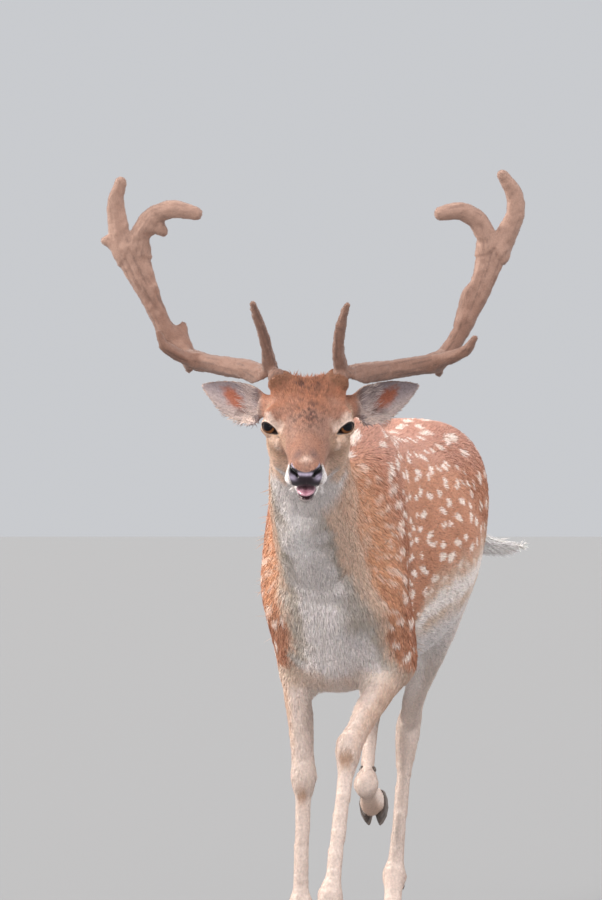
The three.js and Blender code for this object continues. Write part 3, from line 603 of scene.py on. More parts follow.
for side in (1, -1):
    local = shape_eye(local, side)
    outside, far = lid_angle(local, side)
    soft = ramp(9, 16, outside) * ramp(44, 34, far)
    local = around.relax(local, soft, LID_TURNS)
print("the eyes open by", LID_UP + LID_DOWN, "degrees")

# %% [markdown]
# The rest of the face is pushed and pulled by soft touches. Each touch has a place and a reach in
# the head's frame, and moves the skin there by so much, least at its rim.

# %% Nose, nostrils, lips and brow
def touch(local, place, reach, move):
    """Moves the skin near a place by up to this much. All are in millimetres in the head's frame."""
    far = np.linalg.norm((local - np.array(place, float)) / np.array(reach, float), axis=1)
    return local + (np.clip(1 - far**2, 0, 1) ** 2)[:, None] * np.array(move, float)


def off_line(places, start, end):
    """How far places are from the stretch between two points, in any number of dimensions."""
    along = end - start
    share = np.clip((places - start) @ along / (along @ along), 0, 1)
    return np.linalg.norm(places - start - share[:, None] * along, axis=1)


# across and up on the front of the nose: the line through the middle of a nostril
NOSTRIL = np.array([(22.8, -3.5), (19.0, -5.0), (14.5, -7.2), (11.8, -10.2)])
NOSTRIL_RADII = (2.7, 3.3, 2.5)
NOSTRIL_DEPTH, NOSTRIL_RIM = 8.0, 0.8


def off_nostril(local):
    """Distance outside the comma of either nostril, less than 0 in it. Far away behind the nose."""
    flat = np.stack([np.abs(local[:, 0]), local[:, 2]], axis=1)
    stretches = zip(NOSTRIL, NOSTRIL[1:], NOSTRIL_RADII)
    inside = np.min([off_line(flat, start, end) - radius for start, end, radius in stretches], axis=0)
    return inside + np.clip(local[:, 1] + 138, 0, 40)


for side in (1, -1):
    for place, reach, move in (
        ((16, -158, -4), (13, 16, 11), (0, -3.5, 0)),  # fill the nose before the nostrils are cut
        ((22, -150, -12), (10, 14, 13), (2.5, -2.5, 0)),  # wing below the nostril
        ((18, -150, 5), (11, 14, 7), (1.5, -1.5, 1.5)),  # upper rim of the nostril
        ((26, -132, -26), (14, 20, 12), (2.0, -1.5, 0)),  # upper lip
        ((56, -40, -22), (10, 26, 12), (-2, 0, 0)),  # hollow below the eye
        ((43, -24, -7), (5, 8, 4), (-2.0, 1.5, 0)),  # tear pit in front of the eye
        ((58, 0, 24), (16, 20, 9), (1.5, -3.0, 0)),  # brow over the eye
        ((22, 50, 60), (17, 24, 20), (0, 0, 5.0)),  # slope from the crown up to the antler
        ((38, 48, 74), (13, 24, 15), (2.5, 0, -6.0)),  # inner rim of the antler's seat
        ((63, 50, 56), (14, 22, 16), (-4.5, 0, 0)),  # side of the antler's seat
    ):
        local = touch(local, (side * place[0], *place[1:]), reach, (side * move[0], *move[1:]))
local = touch(local, (0, -156, -18), (24, 16, 16), (0, -2.0, 0))  # full front of the nose
local = touch(local, (0, -160, -22), (2.2, 14, 13), (0, 2.2, 0))  # groove down its middle
local = touch(local, (0, -142, -60), (30, 42, 24), (0, -17.0, 2.0))  # lower lip and chin, drawn forward
outside = off_nostril(local)
rim = bump_at(outside, 1.8, 1.2)
local[:, 1] += NOSTRIL_DEPTH * ramp(0.8, -2.2, outside) - NOSTRIL_RIM * rim
co = (local * MM) @ HEAD_AXES.T + HEAD_AT
set_points(skin.data, co)
print("the face is shaped")

# %% [markdown]
# The wide trunk doesn't need so many small faces. A decimation takes some of them away there, and
# only there, so that the whole skin stays under its limit.

# %% Thin the faces of the trunk
MOST_FACES = 190000

faces_now = triangles_in(skin.data)
_, hair = lie_at(co)
plain = ramp(*THICK_COAT, hair[:, DEPTH]) * (local[:, 1] > 200)
group = skin.vertex_groups.new(name="plain")
for strength in (0.5, 1.0):
    group.add([int(i) for i in np.flatnonzero(plain >= strength)], strength, "REPLACE")
pick(skin)
thinner = skin.modifiers.new("thinner", "DECIMATE")
thinner.ratio = MOST_FACES / faces_now
thinner.vertex_group = group.name
bpy.ops.object.modifier_apply(modifier=thinner.name)
skin.vertex_groups.clear()
around = Neighbours(skin.data)
co = points_of(skin.data)
local = in_head(co)
skin_normals = normals_of(skin.data)
print("the skin went from", faces_now, "to", triangles_in(skin.data), "triangles")

# %% [markdown]
# ## Markings
#
# The same function colours the skin and every tuft, so the two always agree. It gives a colour for
# a place and the way the surface faces there. The spots lie in loose rows round the body, and soft
# waves in all directions make their edges and the borders between colours uneven.

# %% Colours of the coat
rng = np.random.default_rng(7)


def paint(red, green, blue):
    """A colour in everyday 0 to 255 values, as the linear colour that a shader needs."""
    value = np.array([red, green, blue]) / 255
    return np.where(value <= 0.04045, value / 12.92, ((value + 0.055) / 1.055) ** 2.4)


CHESTNUT = paint(196, 140, 112)
RUFOUS = paint(172, 116, 88)
BACK_PALE = paint(198, 148, 130)
# partly the neck's own colour, partly a painted glow along its edges
NECK_SIDE = paint(214, 158, 122)
DARK_STRIPE = paint(96, 66, 56)
SPOT = paint(246, 230, 220)
TAN = paint(214, 184, 164)
OLIVE = paint(184, 172, 162)
CREAM = paint(220, 211, 208)
WHITE = paint(242, 236, 234)
TAIL_WHITE = paint(250, 246, 244)
FAWN = paint(208, 184, 166)
LEG = paint(220, 202, 192)
LEG_TAN = paint(204, 172, 150)
KNEE = paint(178, 138, 110)
FACE = paint(167, 127, 110)
CHEEK = paint(196, 162, 138)
CROWN = paint(172, 116, 90)
SPECKLE = paint(78, 56, 54)
SEAT_VELVET = paint(140, 98, 76)
NOSE_BLACK = paint(40, 30, 36)
# pale lavender, painted on the black nose as highlights of its wet skin
NOSE_HIGHLIGHT = paint(186, 172, 194)
# darker than the nose, painted as shade inside the nostrils
NOSTRIL_BLACK = paint(16, 10, 12)
MUZZLE_GREY = paint(128, 100, 94)
CHIN_GREY = paint(140, 124, 120)
LID_BLACK = paint(30, 20, 18)
RING = paint(226, 202, 188)
EAR_BACK = paint(160, 124, 104)
EAR_PALE = paint(156, 141, 143)
EAR_HAIR = paint(208, 192, 188)
EAR_RUFOUS = paint(160, 88, 60)
EAR_DARK = paint(96, 66, 60)
# dark lip skin, and painted shade inside the open mouth
MOUTH_DARK = paint(58, 38, 44)


def ripple(places, wavelength, seed, waves=9):
    """Soft noise between about -1 and 1, a sum of waves in random directions."""
    draw = np.random.default_rng(seed)
    turns = unit(draw.normal(size=(waves, 3))) * (2 * np.pi / wavelength)
    turns = turns * draw.uniform(0.7, 1.4, (waves, 1))
    return np.sin(places @ turns.T + draw.uniform(0, 2 * np.pi, waves)).sum(1) / math.sqrt(waves)


def over(below, above, share):
    """One colour laid over another, by a share from 0 to 1 at each place."""
    return below + np.clip(share, 0, 1)[:, None] * (above - below)


def laid(colour, layers):
    """A colour with layers over it. Each layer is a colour and its share at every place."""
    for above, share in layers:
        colour = over(colour, above, share)
    return colour


print("the chestnut of the coat is", rounded(CHESTNUT), "as linear colour")

# %% [markdown]
# The hide is laid flat in thought: one way along the body, the other way round it from the spine.
# Spots are then drawn on it in rows, each shaken out of its place, with its own size and slant. Low
# on the flanks they are smaller and closer together, and they stop at the pale belly.

# %% Rows of spots
BODY_MIDDLE = 0.01  # how far to the left its middle lies
BODY_AXIS = 0.66  # height of the line that the rows run round
SPOT_ROWS = (10, 21, 33, 45, 57, 69, 81, 92, 103, 114, 125, 136, 147)  # degrees down from the spine
SPOT_STEP, FIRST_ROW_STEP = 0.046, 0.85
SPOT_JITTER, FIRST_ROW_JITTER = (0.0080, 0.0065), (0.0080, 0.0030)
GIRTH = 0.19  # how far the hide lies from that line
SPOT_SIZE = (0.0150, 0.0074)  # half length and half height
SPOT_SIZES, SPOT_SLANTS = (0.65, 1.2), (-0.5, 0.3)
SPOT_REACH = 0.03
SPOT_UNEVEN = 0.0022
FIRST_SPOT, LAST_SPOT = -0.35, 0.66
LOW_ROWS, LOW_STEP, LOW_SIZE = 10, 0.6, 0.7  # from this row down they are small and close together
SHOULDER_END, SHOULDER_SIZE = -0.15, 1.25  # ahead of this place they are larger
MISSING_SPOTS = 0.10


def unrolled(places):
    """Places along the body, and round it from the spine, in metres, as if the hide were laid flat."""
    down = np.arctan2(np.abs(places[:, 0] - BODY_MIDDLE), places[:, 2] - BODY_AXIS)
    return np.stack([places[:, 1], down * GIRTH], axis=1)


spots = []
for side in (1, -1):
    for row, angle in enumerate(SPOT_ROWS):
        low = row >= LOW_ROWS
        step = SPOT_STEP * (FIRST_ROW_STEP if row == 0 else LOW_STEP if low else 1)
        for along in np.arange(FIRST_SPOT + (row % 2) * step / 2, LAST_SPOT, step):
            if rng.random() < MISSING_SPOTS and row:
                continue
            jitter = rng.normal(0, 1, 2) * (SPOT_JITTER if row else FIRST_ROW_JITTER)
            size = rng.uniform(*SPOT_SIZES) * (LOW_SIZE if low else 1)
            place = (along + jitter[0], math.radians(angle) * GIRTH + jitter[1])
            spots.append((side, *place, size, rng.uniform(*SPOT_SLANTS)))
spots = np.array(spots)


def spotted(places):
    """1 in a spot of the coat, 0 outside."""
    uneven = np.stack([ripple(places, 0.02, 3), ripple(places, 0.02, 4)], axis=1)
    flat = unrolled(places) + SPOT_UNEVEN * uneven
    side = np.sign(places[:, 0] - BODY_MIDDLE)
    best = np.full(len(places), 9.0)
    for sign, along, down, size, slant in spots:
        near = np.flatnonzero((side == sign) & np.all(np.abs(flat - (along, down)) < SPOT_REACH, axis=1))
        d = flat[near] - (along, down)
        d[:, 1] -= slant * d[:, 0]
        far = np.hypot(d[:, 0] / SPOT_SIZE[0], d[:, 1] / SPOT_SIZE[1]) / size
        far = far / (SHOULDER_SIZE if along < SHOULDER_END else 1)
        best[near] = np.minimum(best[near], far)
    return ramp(1.25, 0.75, best)


print("the coat has", len(spots), "spots")

# %% [markdown]
# The coat is painted in layers, from the ground colour of the back to the marks on the tail. Each
# layer has a colour and a share, and a share is a product of soft steps: up the body, along it, and
# by the way that the surface faces. A map painted by hand could do it too, but then the tufts would
# have to look up their colours in it.

# %% Colour any place on the body
# the upper edge of the white stripe on the side: along the body, and its height
STRIPE_LINE = (
    (-0.30, -0.06, -0.01, 0.02, 0.08, 0.15, 0.27, 0.45, 0.60, 0.70),
    (0.470, 0.472, 0.510, 0.560, 0.580, 0.598, 0.617, 0.650, 0.700, 0.750),
)
STRIPE_WIDTH = 0.034
# the pale front of the neck and breast: height, its middle, half its width, and half that of the tan
BREAST = (
    (0.45, 0.50, 0.55, 0.60, 0.64, 0.68, 0.71, 0.78, 0.85),
    (0.015, 0.015, 0.012, -0.002, -0.006, -0.008, -0.010, -0.006, 0.0),
    (0.10, 0.074, 0.066, 0.056, 0.049, 0.045, 0.040, 0.040, 0.042),
    (0.10, 0.082, 0.078, 0.078, 0.074, 0.070, 0.064, 0.056, 0.056),
)
FRONT_WAY = np.array([0.0, -0.80, -0.60])
TAIL_ROOT = np.array([0.01, 0.69, 0.755])


def body_colours(places, normals):
    """The colour of the coat on the body. All limits are in metres in the row frame."""
    x, y, z = places.T
    aside = np.abs(x - BODY_MIDDLE)
    facing_out = np.sign(x - BODY_MIDDLE) * normals[:, 0]
    wave, fine = ripple(places, 0.06, 11), ripple(places, 0.014, 12)
    over_line = z - (np.interp(y, *STRIPE_LINE) + 0.005 * wave + 0.003 * fine)
    on_trunk = ramp(-0.22, -0.14, y)
    behind_leg = ramp(-0.02, 0.02, y)
    haunch = ramp(0.30, 0.40, y)
    # the back is redder low down and pale on top, with a dark line along the spine, and spots
    redder = (0.15 + 0.30 * on_trunk) * ramp(0.72, 0.58, z) + 0.22 * wave + 0.10 * fine
    withers = ramp(0.66, 0.73, z + 0.01 * wave) * ramp(-0.36, -0.28, y) * ramp(-0.08, -0.16, y)
    spine = ramp(0.016, 0.004, aside + 0.003 * fine) * ramp(0.78, 0.80, z) * ramp(-0.42, -0.30, y)
    layers = [
        (RUFOUS, redder),
        (BACK_PALE, ramp(0.74, 0.81, z + 0.01 * wave) * ramp(-0.30, -0.15, y)),
        (BACK_PALE, 0.5 * withers),
        (DARK_STRIPE, 0.6 * spine),
        (SPOT, 0.9 * spotted(places) * ramp(-0.01, 0.02, over_line) * ramp(-0.37, -0.29, y)),
        # the sides of the neck are a lighter orange: partly their own colour, partly a painted glow along
        # their edges
        (NECK_SIDE, 0.8 * ramp(-0.16, -0.28, y) * ramp(0.5, 0.8, np.abs(normals[:, 0]))),
    ]
    # the neck and breast are pale in front, tan beside that, and chestnut further round
    heights, middles, halves, tan_halves = BREAST
    offset = x - np.interp(z, heights, middles)
    half, tan_half = np.interp(z, heights, halves), np.interp(z, heights, tan_halves)
    tan_half = np.where(offset < 0, 0.6 * half + 0.4 * tan_half, tan_half)
    off = np.abs(offset) / half + 0.07 * wave + 0.04 * fine
    off_tan = np.abs(offset) / tan_half + 0.05 * wave + 0.03 * fine
    front = ramp(-0.10, 0.22, normals @ FRONT_WAY + 0.05 * wave) * ramp(-0.12, -0.18, y)
    on_neck = ramp(-0.32, -0.44, y + 0.35 * (0.62 - z) + 0.02 * wave)
    tan_neck = on_neck * 0.85 * ramp(-0.75, -0.25, normals @ FRONT_WAY)
    layers += [
        (TAN, np.maximum(tan_neck, front * ramp(1.10, 0.92, off_tan))),
        (OLIVE, front * ramp(1.10, 0.80, off)),
        (CREAM, front * ramp(0.90, 0.40, off + 0.12 * wave)),
        (WHITE, 0.9 * front * ramp(0.7, 0.1, off) * ramp(0.62, 0.67, z)),
    ]
    # the belly is pale, and a white stripe runs along its upper edge and round the haunch
    under = ramp(0.006, -0.008, over_line)
    stripe_end = ramp(-STRIPE_WIDTH - 0.014, -STRIPE_WIDTH + 0.006, over_line + 0.004 * fine)
    stripe = ramp(0.012, -0.012, over_line) * behind_leg * stripe_end
    belly = under * on_trunk * ramp(-0.035, -0.085, over_line + 0.010 * wave)
    layers += [
        (FAWN, 0.8 * ramp(0.055, 0.0, over_line) * on_trunk * behind_leg),
        (FAWN, under * on_trunk),
        (WHITE, (0.70 - 0.15 * haunch) * stripe),
        (CREAM, belly * (1 - 0.4 * haunch)),
        (WHITE, ramp(0.1, -0.3, facing_out) * ramp(0.60, 0.54, z) * ramp(0.06, 0.16, y)),
    ]
    # the legs are pale, tan behind and outside, and brown on the front of the knees
    shin = ramp(0.475, 0.43, z + 0.010 * wave)
    outer = ramp(0.1, 0.8, facing_out + 0.15 * wave) * ramp(0.10, 0.0, y)
    raised = near_node(places, "hindleg_right_lower", 0.01) * ramp(0.27, 0.22, z) * ramp(0.30, 0.34, y)
    layers += [
        (LEG, shin * (1 - 0.6 * haunch * ramp(0.36, 0.46, z))),
        (LEG_TAN, 0.75 * ramp(0.0, 0.9, normals[:, 1] + 0.15 * wave) * shin),
        (TAN, 0.85 * outer * ramp(0.30, 0.42, z + 0.01 * fine) * shin),
        (KNEE, 0.55 * raised * ramp(0.2, -0.5, normals[:, 2])),
    ]
    for node, height in (("foreleg_left_lower", 0.335), ("foreleg_right_lower", 0.268)):
        in_front = ramp(0.6, 0.95, -normals[:, 1] + 0.05 * fine)
        knee = bump_at(z, height, 0.015) * in_front * near_node(places, node, 0.01)
        layers.append((KNEE, 0.8 * knee))
    # the rump has a white patch with dark edges, and the tail is white with a dark line on top
    tail = near_node(places, "tail", 0.012)
    behind = ramp(0.3, 0.7, normals[:, 1]) * ramp(0.60, 0.66, y) * ramp(0.50, 0.56, z)
    onto_tail = ramp(0.011, 0.004, aside + 0.002 * fine) * ramp(0.60, 0.64, y) * ramp(0.735, 0.750, z)
    layers += [
        (DARK_STRIPE, 0.8 * behind * ramp(0.095, 0.080, aside + 0.004 * wave)),
        (WHITE, behind * ramp(0.075, 0.055, aside + 0.004 * wave)),
        (WHITE, ramp(0.055, 0.035, np.linalg.norm(places - TAIL_ROOT, axis=1))),
        (DARK_STRIPE, 0.8 * onto_tail),
        (TAIL_WHITE, tail),
        (DARK_STRIPE, 0.85 * tail * ramp(0.35, 0.85, normals[:, 2]) * ramp(0.06, 0.03, x)),
    ]
    return laid(CHESTNUT, layers)


print("the stripe on the side starts at height", STRIPE_LINE[1][0])

# %% [markdown]
# The head is painted in the same way, in its own frame, so that its marks sit right by the eyes, the
# nose and the mouth. Head and body fade into each other behind the jaw.

# %% Colour any place on the head
TEAR_LINE = (np.array([45.0, -17.0, -3.0]), np.array([40.5, -25.0, -7.0]))
TEAR_PALE = (np.array([44.0, -26.0, -14.0]), np.array([40.0, -36.0, -26.0]))
EAR_CENTRE = (112, 43)  # out from the middle of the head, and up


def nose_pad(local):
    """1 on the bare skin of the nose, 0 on the hair round it."""
    x, y, z = local.T
    aside = np.abs(x)
    half_width = np.interp(z, (-34, -24, -10, 0, 6), (18, 21, 25, 24, 12))
    top = -4.0 + 5.0 * np.clip(aside / 18, 0, 1) ** 1.6
    return (
        ramp(1.5, -1.5, aside - half_width) * ramp(-134, -139, y)
        * ramp(1.0, -1.0, z - top) * ramp(-37, -34, z)
    )


def in_mouth(local):
    """1 inside the open mouth."""
    x, y, z = local.T
    across_it, up_it = ramp(19, 16, np.abs(x)), ramp(-31.5, -33, z) * ramp(-48, -46, z)
    return across_it * up_it * (y < -88) * ramp(-158, -150, y)


def lash_width(z):
    """How many degrees outside the lids are dark and bare, most above the eye."""
    return 4.5 + 5.5 * ramp(-2, 6, z - EYE_PLACES[0][2])


def lower_lip(local):
    """1 on the bare rim of the lower lip."""
    x, y, z = local.T
    return ramp(22, 18, np.abs(x)) * ramp(-108, -118, y) * ramp(-52.5, -50, z) * ramp(-42, -45, z)


def head_colours(local, normals):
    """The colour of the coat on the head. All limits are in millimetres in the head's frame."""
    x, y, z = local.T
    aside = np.abs(x)
    wave, fine, speck = ripple(local, 34, 21), ripple(local, 9, 22), ripple(local, 5.5, 23)
    # the face is brown, redder on the crown and paler on the cheeks and below
    on_top = ramp(-8, 2, z)
    layers = [
        (CROWN, ramp(0, 50, z + 0.25 * y + 6 * wave)),
        (CHEEK, 0.9 * ramp(26, 44, aside + 3 * wave) * ramp(20, -4, z) * (y < 60)),
        (CROWN, 0.45 * bump_at(aside, 16, 12) * ramp(-60, -90, y) * ramp(-16, -4, z)),
        (TAN, 0.8 * ramp(-24, -50, z + 3 * wave) * ramp(-100, -60, y)),
        (MUZZLE_GREY, 0.8 * bump_at(aside, 11.5, 7.5) * bump_at(y, -127, 13) * on_top),
        # pale hair on top of the nose, painted paler still as a highlight
        (RING, 0.75 * bump_at(aside + 1.5 * fine, 0, 8) * bump_at(y, -143, 8) * on_top),
    ]
    # dark hairs stand between the eyes and over the brow
    up_face = z + 0.35 * y
    brow = bump_at(aside, 0, 30) * bump_at(up_face, 20, 24)
    brow = brow + bump_at(aside, 0, 32) * bump_at(up_face, 66, 15)
    patchy = ramp(-0.3, 1.0, ripple(local, 20, 24) + 0.9 * fine) * (0.6 + 0.4 * ramp(-0.8, 1.2, speck))
    # the jaw is tan on its sides and cream below, with white round the lips and a dark lower lip
    below = ramp(0.80, 0.45, np.abs(normals[:, 0]) + 0.08 * wave) * ramp(-52, -72, z + 0.10 * y)
    lip = ramp(-124, -134, y) * ramp(0, -7, z - 0.5 * (aside - 25)) * ramp(19, 23, aside)
    corner = ramp(-92, -106, y) * ramp(-24, -30, z)
    on_left = folded(local)
    layers += [
        (SPECKLE, brow * patchy * ramp(-92, -60, y)),
        (CREAM, np.maximum(below, ramp(-92, -112, z + 3 * wave))),
        (WHITE, np.maximum(lip, corner)),
        (CHIN_GREY, 0.8 * ramp(-126, -136, y) * ramp(-62, -55, z) * ramp(-40, -44, z)),
        (MOUTH_DARK, lower_lip(local)),
        (RING, 0.6 * ramp(6, 2, off_line(on_left, *TEAR_PALE))),
    ]
    # each eye has dark lids, a pale ring round them and a dark line down from its inner corner
    lash = lash_width(z)
    above = ramp(-0.5, 0.5, (z - 2) / 12)
    for side in (1, -1):
        outside, far = lid_angle(local, side)
        ring = ramp(6, 10, outside) * ramp(60, 18, outside + 6 * fine) * ramp(44, 20, far)
        tear = off_line(local * (side, 1, 1), *TEAR_LINE)
        layers += [
            (RING, ring * (0.35 + 0.55 * above)),
            (LID_BLACK, ramp(lash, lash - 3.5, outside) * ramp(26, 22, far)),
            (LID_BLACK, 0.8 * ramp(2.6, 1.2, tear)),
        ]
    # the nose is black with highlights painted on its wet skin, and its nostrils are darker still
    # painted highlights: below each nostril, across the pad between them and over their upper rims
    nose_highlight = bump_at(aside, 19, 5) * bump_at(z, -14, 4.5) + 0.8 * ramp(14, 9, aside) * bump_at(z, -7, 2.2)
    nose_highlight += 0.6 * bump_at(aside, 20, 4) * bump_at(z, 0, 2.0)
    from_seat = np.linalg.norm(on_left - SEAT, axis=1)
    layers += [
        (over(NOSE_BLACK, NOSE_HIGHLIGHT, nose_highlight), nose_pad(local)),
        # the nostrils are painted darker than the black pad, as shade inside their holes
        (NOSTRIL_BLACK, ramp(0.6, -0.8, off_nostril(local))),
        # inside the open mouth the skin is painted dark, as shade in the hollow behind the lips
        (MOUTH_DARK, in_mouth(local)),
        (SEAT_VELVET, 0.9 * ramp(29, 20, from_seat + 2.5 * fine)),
    ]
    # the ears are brown behind, pale with dark marks inside, and rufous in the middle
    on_ear = ramp(66, 80, aside) * (y > 40)
    inside = on_ear * ramp(-0.1, 0.3, -normals[:, 1])
    upright = y * math.sin(NOSE_DOWN) + z * math.cos(NOSE_DOWN)
    outward, upward = aside - EAR_CENTRE[0], upright - EAR_CENTRE[1]
    out_up, across_it = (outward + upward) / math.sqrt(2), (outward - upward) / math.sqrt(2)
    centre = ramp(1.25, 0.5, np.hypot(out_up / 24, across_it / 11.5) + 0.12 * fine)
    marks = bump_at(aside, 96, 11) * bump_at(upright, 22, 5.5)
    marks = marks + bump_at(aside, 71, 6) * bump_at(upright, 40, 12)
    layers += [
        (EAR_BACK, on_ear),
        (EAR_PALE, inside),
        (RING, 0.8 * on_ear * ramp(0.80, 0.40, np.abs(normals[:, 1]))),
        (EAR_RUFOUS, 0.9 * inside * centre),
        (EAR_DARK, inside * marks * (0.85 + 0.4 * fine)),
    ]
    return laid(FACE, layers)


def coat_colours(places, normals):
    """The colour of the coat at places anywhere on the buck, where its surface faces these ways."""
    local = in_head(places)
    high = places[:, 2] > LOWEST_NECK
    share = ramp(150, 95, local[:, 1] - 0.35 * local[:, 2]) * high
    ear = (np.abs(local[:, 0]) > 70) * (local[:, 1] > 40) * (local[:, 1] < 190) * high
    head = head_colours(local, normals @ HEAD_AXES)
    return over(body_colours(places, normals), head, np.maximum(share, ear))


def set_colour(mesh, colours, name="coat"):
    """Keeps a colour at every vertex of a mesh, as an attribute."""
    layer = mesh.color_attributes.new(name, "FLOAT_COLOR", "POINT")
    full = np.ones((len(colours), 4), np.float32)
    full[:, :3] = np.clip(colours, 0, 1)
    layer.data.foreach_set("color", full.ravel())


set_colour(skin.data, coat_colours(co, skin_normals))
print("the skin is coloured")

# %% [markdown]
# ## The coat
#
# Each tuft is a small closed lance: a root in the skin, two corners at its widest, and a tip. It
# lies along the coat and lifts its tip just to the surface of the solids. Four faces are enough at
# this size. The tufts are spread so evenly that no part is bare: the triangles of the skin are
# walked in order, and a tuft is set each time enough area has passed.

# %% Unwrap the skin, so that each tuft knows its place on it
SEAM_ANGLE = math.radians(66)
ISLAND_GAP = 0.002


def unwrap(piece):
    """Lays a piece's surface out flat, as the map OFBake."""
    flatten = bpy.ops.uv.smart_project
    edit(piece, flatten, angle_limit=SEAM_ANGLE, island_margin=ISLAND_GAP, scale_to_bounds=True)
    piece.data.uv_layers.active.name = "OFBake"


unwrap(skin)
print("the skin is unwrapped")

# %% [markdown]
# Tufts could be set at the corners of the mesh, but its faces vary in size, and rows would show. So
# each triangle takes as many roots as its area asks for, at random places inside it. Bare skin, on
# the nose, lips and lids, takes none.

# %% Spread the roots of the tufts over the skin
THINNEST = 400


def scatter(mesh, co, normals, spacing):
    """Roots on a mesh, one for each square of this spacing: their places, normals and map places."""
    mesh.calc_loop_triangles()
    corners, loops = (read(mesh.loop_triangles, what, 3, np.int64) for what in ("vertices", "loops"))
    uv = read(mesh.uv_layers["OFBake"].data, "uv", 2)
    a, b, c = (co[corners[:, i]] for i in range(3))
    area = np.linalg.norm(np.cross(b - a, c - a), axis=1) / 2
    wanted = np.cumsum(area / spacing[corners].mean(1) ** 2)
    counts = np.diff(np.floor(wanted + rng.random()), prepend=0).astype(int)
    chosen = np.repeat(np.arange(len(corners)), counts)
    share = rng.dirichlet((1, 1, 1), len(chosen))
    blend = lambda values: np.einsum("ni,nij->nj", share, values)
    return blend(co[corners[chosen]]), unit(blend(normals[corners[chosen]])), blend(uv[loops[chosen]])


bald = nose_pad(local)
bald = np.maximum(bald, np.maximum(in_mouth(local), lower_lip(local)))
for side in (1, -1):
    outside, far = lid_angle(local, side)
    lash = lash_width(local[:, 2])
    bald = np.maximum(bald, ramp(lash + 1, lash - 2, outside) * ramp(26, 22, far))
set_colour(skin.data, np.repeat(bald[:, None], 3, axis=1), "bare")
spacing = around.blur(lie_at(co)[1][:, SPACING], 2)
thin_out = np.minimum(1 / np.sqrt(np.maximum(1 - bald, 1e-6)), THINNEST)
roots, root_normals, root_uv = scatter(skin.data, co, skin_normals, spacing * thin_out)
print("the coat has", len(roots), "tufts")

# %% [markdown]
# One function makes every piece of coat, from the places of its roots, the way that each tuft lies,
# its length, its width and the height of its tip. It fills the mesh straight from arrays, which is
# far quicker than an object for each hair.

# %% Shape a tuft
PATCH = 0.003
LANCE = np.array([(0, 1, 2), (1, 3, 2), (0, 2, 3), (0, 3, 1)])
LANCE_UV = np.array([(-0.5, 0), (0, -0.5), (0, 0.5), (0.5, 0)]) * PATCH
SUNK = 0.0010
WIDEST = 0.42  # how far along a tuft it is widest
# tufts are painted darker at the root, as shade deep in the coat, and lighter at the tip, as light on top
# of it
ROOT_TO_TIP = (0.86, 0.98, 1.07)  # how bright it is at the root, where it is widest, and at the tip


def lances(name, roots, normals, lies, length, width, lift, colours, uv, bow=0.16, tone=ROOT_TO_TIP):
    """A piece of coat: one lance for each root. Lift is how high the tip stands over the skin."""
    count = len(roots)
    lies = unit(lies - (lies * normals).sum(1, keepdims=True) * normals)
    side = np.cross(normals, lies)
    length, width, lift = (np.broadcast_to(v, count)[:, None] for v in (length, width, lift))
    widest = roots + WIDEST * length * lies + (WIDEST + bow) * lift * normals
    tips = roots + length * lies + lift * normals
    corners = (roots - SUNK * normals, widest - width / 2 * side, widest + width / 2 * side, tips)
    places = np.stack(corners, axis=1)
    faces = (LANCE[None] + 4 * np.arange(count)[:, None, None]).reshape(-1, 3)
    mesh = bpy.data.meshes.new(name)
    mesh.vertices.add(count * 4)
    mesh.loops.add(len(faces) * 3)
    mesh.polygons.add(len(faces))
    mesh.vertices.foreach_set("co", places.astype(np.float32).ravel())
    mesh.polygons.foreach_set("loop_start", np.arange(0, len(faces) * 3, 3, dtype=np.int32))
    mesh.loops.foreach_set("vertex_index", faces.astype(np.int32).ravel())
    mesh.update(calc_edges=True)
    mesh.shade_flat()
    shades = np.array([tone[0], tone[1], tone[1], tone[2]])
    set_colour(mesh, (colours[:, None, :] * shades[None, :, None]).reshape(-1, 3))
    uv_of_corner = (uv[:, None, :] + LANCE_UV[None]).reshape(-1, 2)[faces.ravel()]
    layer = mesh.uv_layers.new(name="OFBake")
    layer.data.foreach_set("uv", np.clip(uv_of_corner, 0, 1).astype(np.float32).ravel())
    piece = bpy.data.objects.new(name, mesh)
    bpy.context.scene.collection.objects.link(piece)
    return piece


print("a tuft has", len(LANCE), "faces")

# %% [markdown]
# Real fur lies in small locks. Waves a centimetre long turn the hair a little to one side and the
# other, and raise and lower it, so that neighbours lean together. Here and there a hair is dark, most
# of all on the neck and brow.

# %% Make the coat
PIECE_TUFTS = 45000
LOCKS = 0.011
SWAY, LIE_JITTER, LIFT_OF_LOCKS = 0.13, 0.14, 0.22
NEAR_EYE, NEAR_SEAT, NEAR_TAIL = 0.45, 0.55, 0.6  # how much shorter the hair is there
SHORTEST, LONGEST = 0.80, 1.15
TONE, TONE_OF_LOCKS, TINT = 0.075, 0.045, 0.02  # how far tufts differ in brightness and hue
DARK_HAIRS, DARK_ON_NECK, DARK_TONE = 0.04, 0.08, 0.66
CALMER_LEGS = 0.65

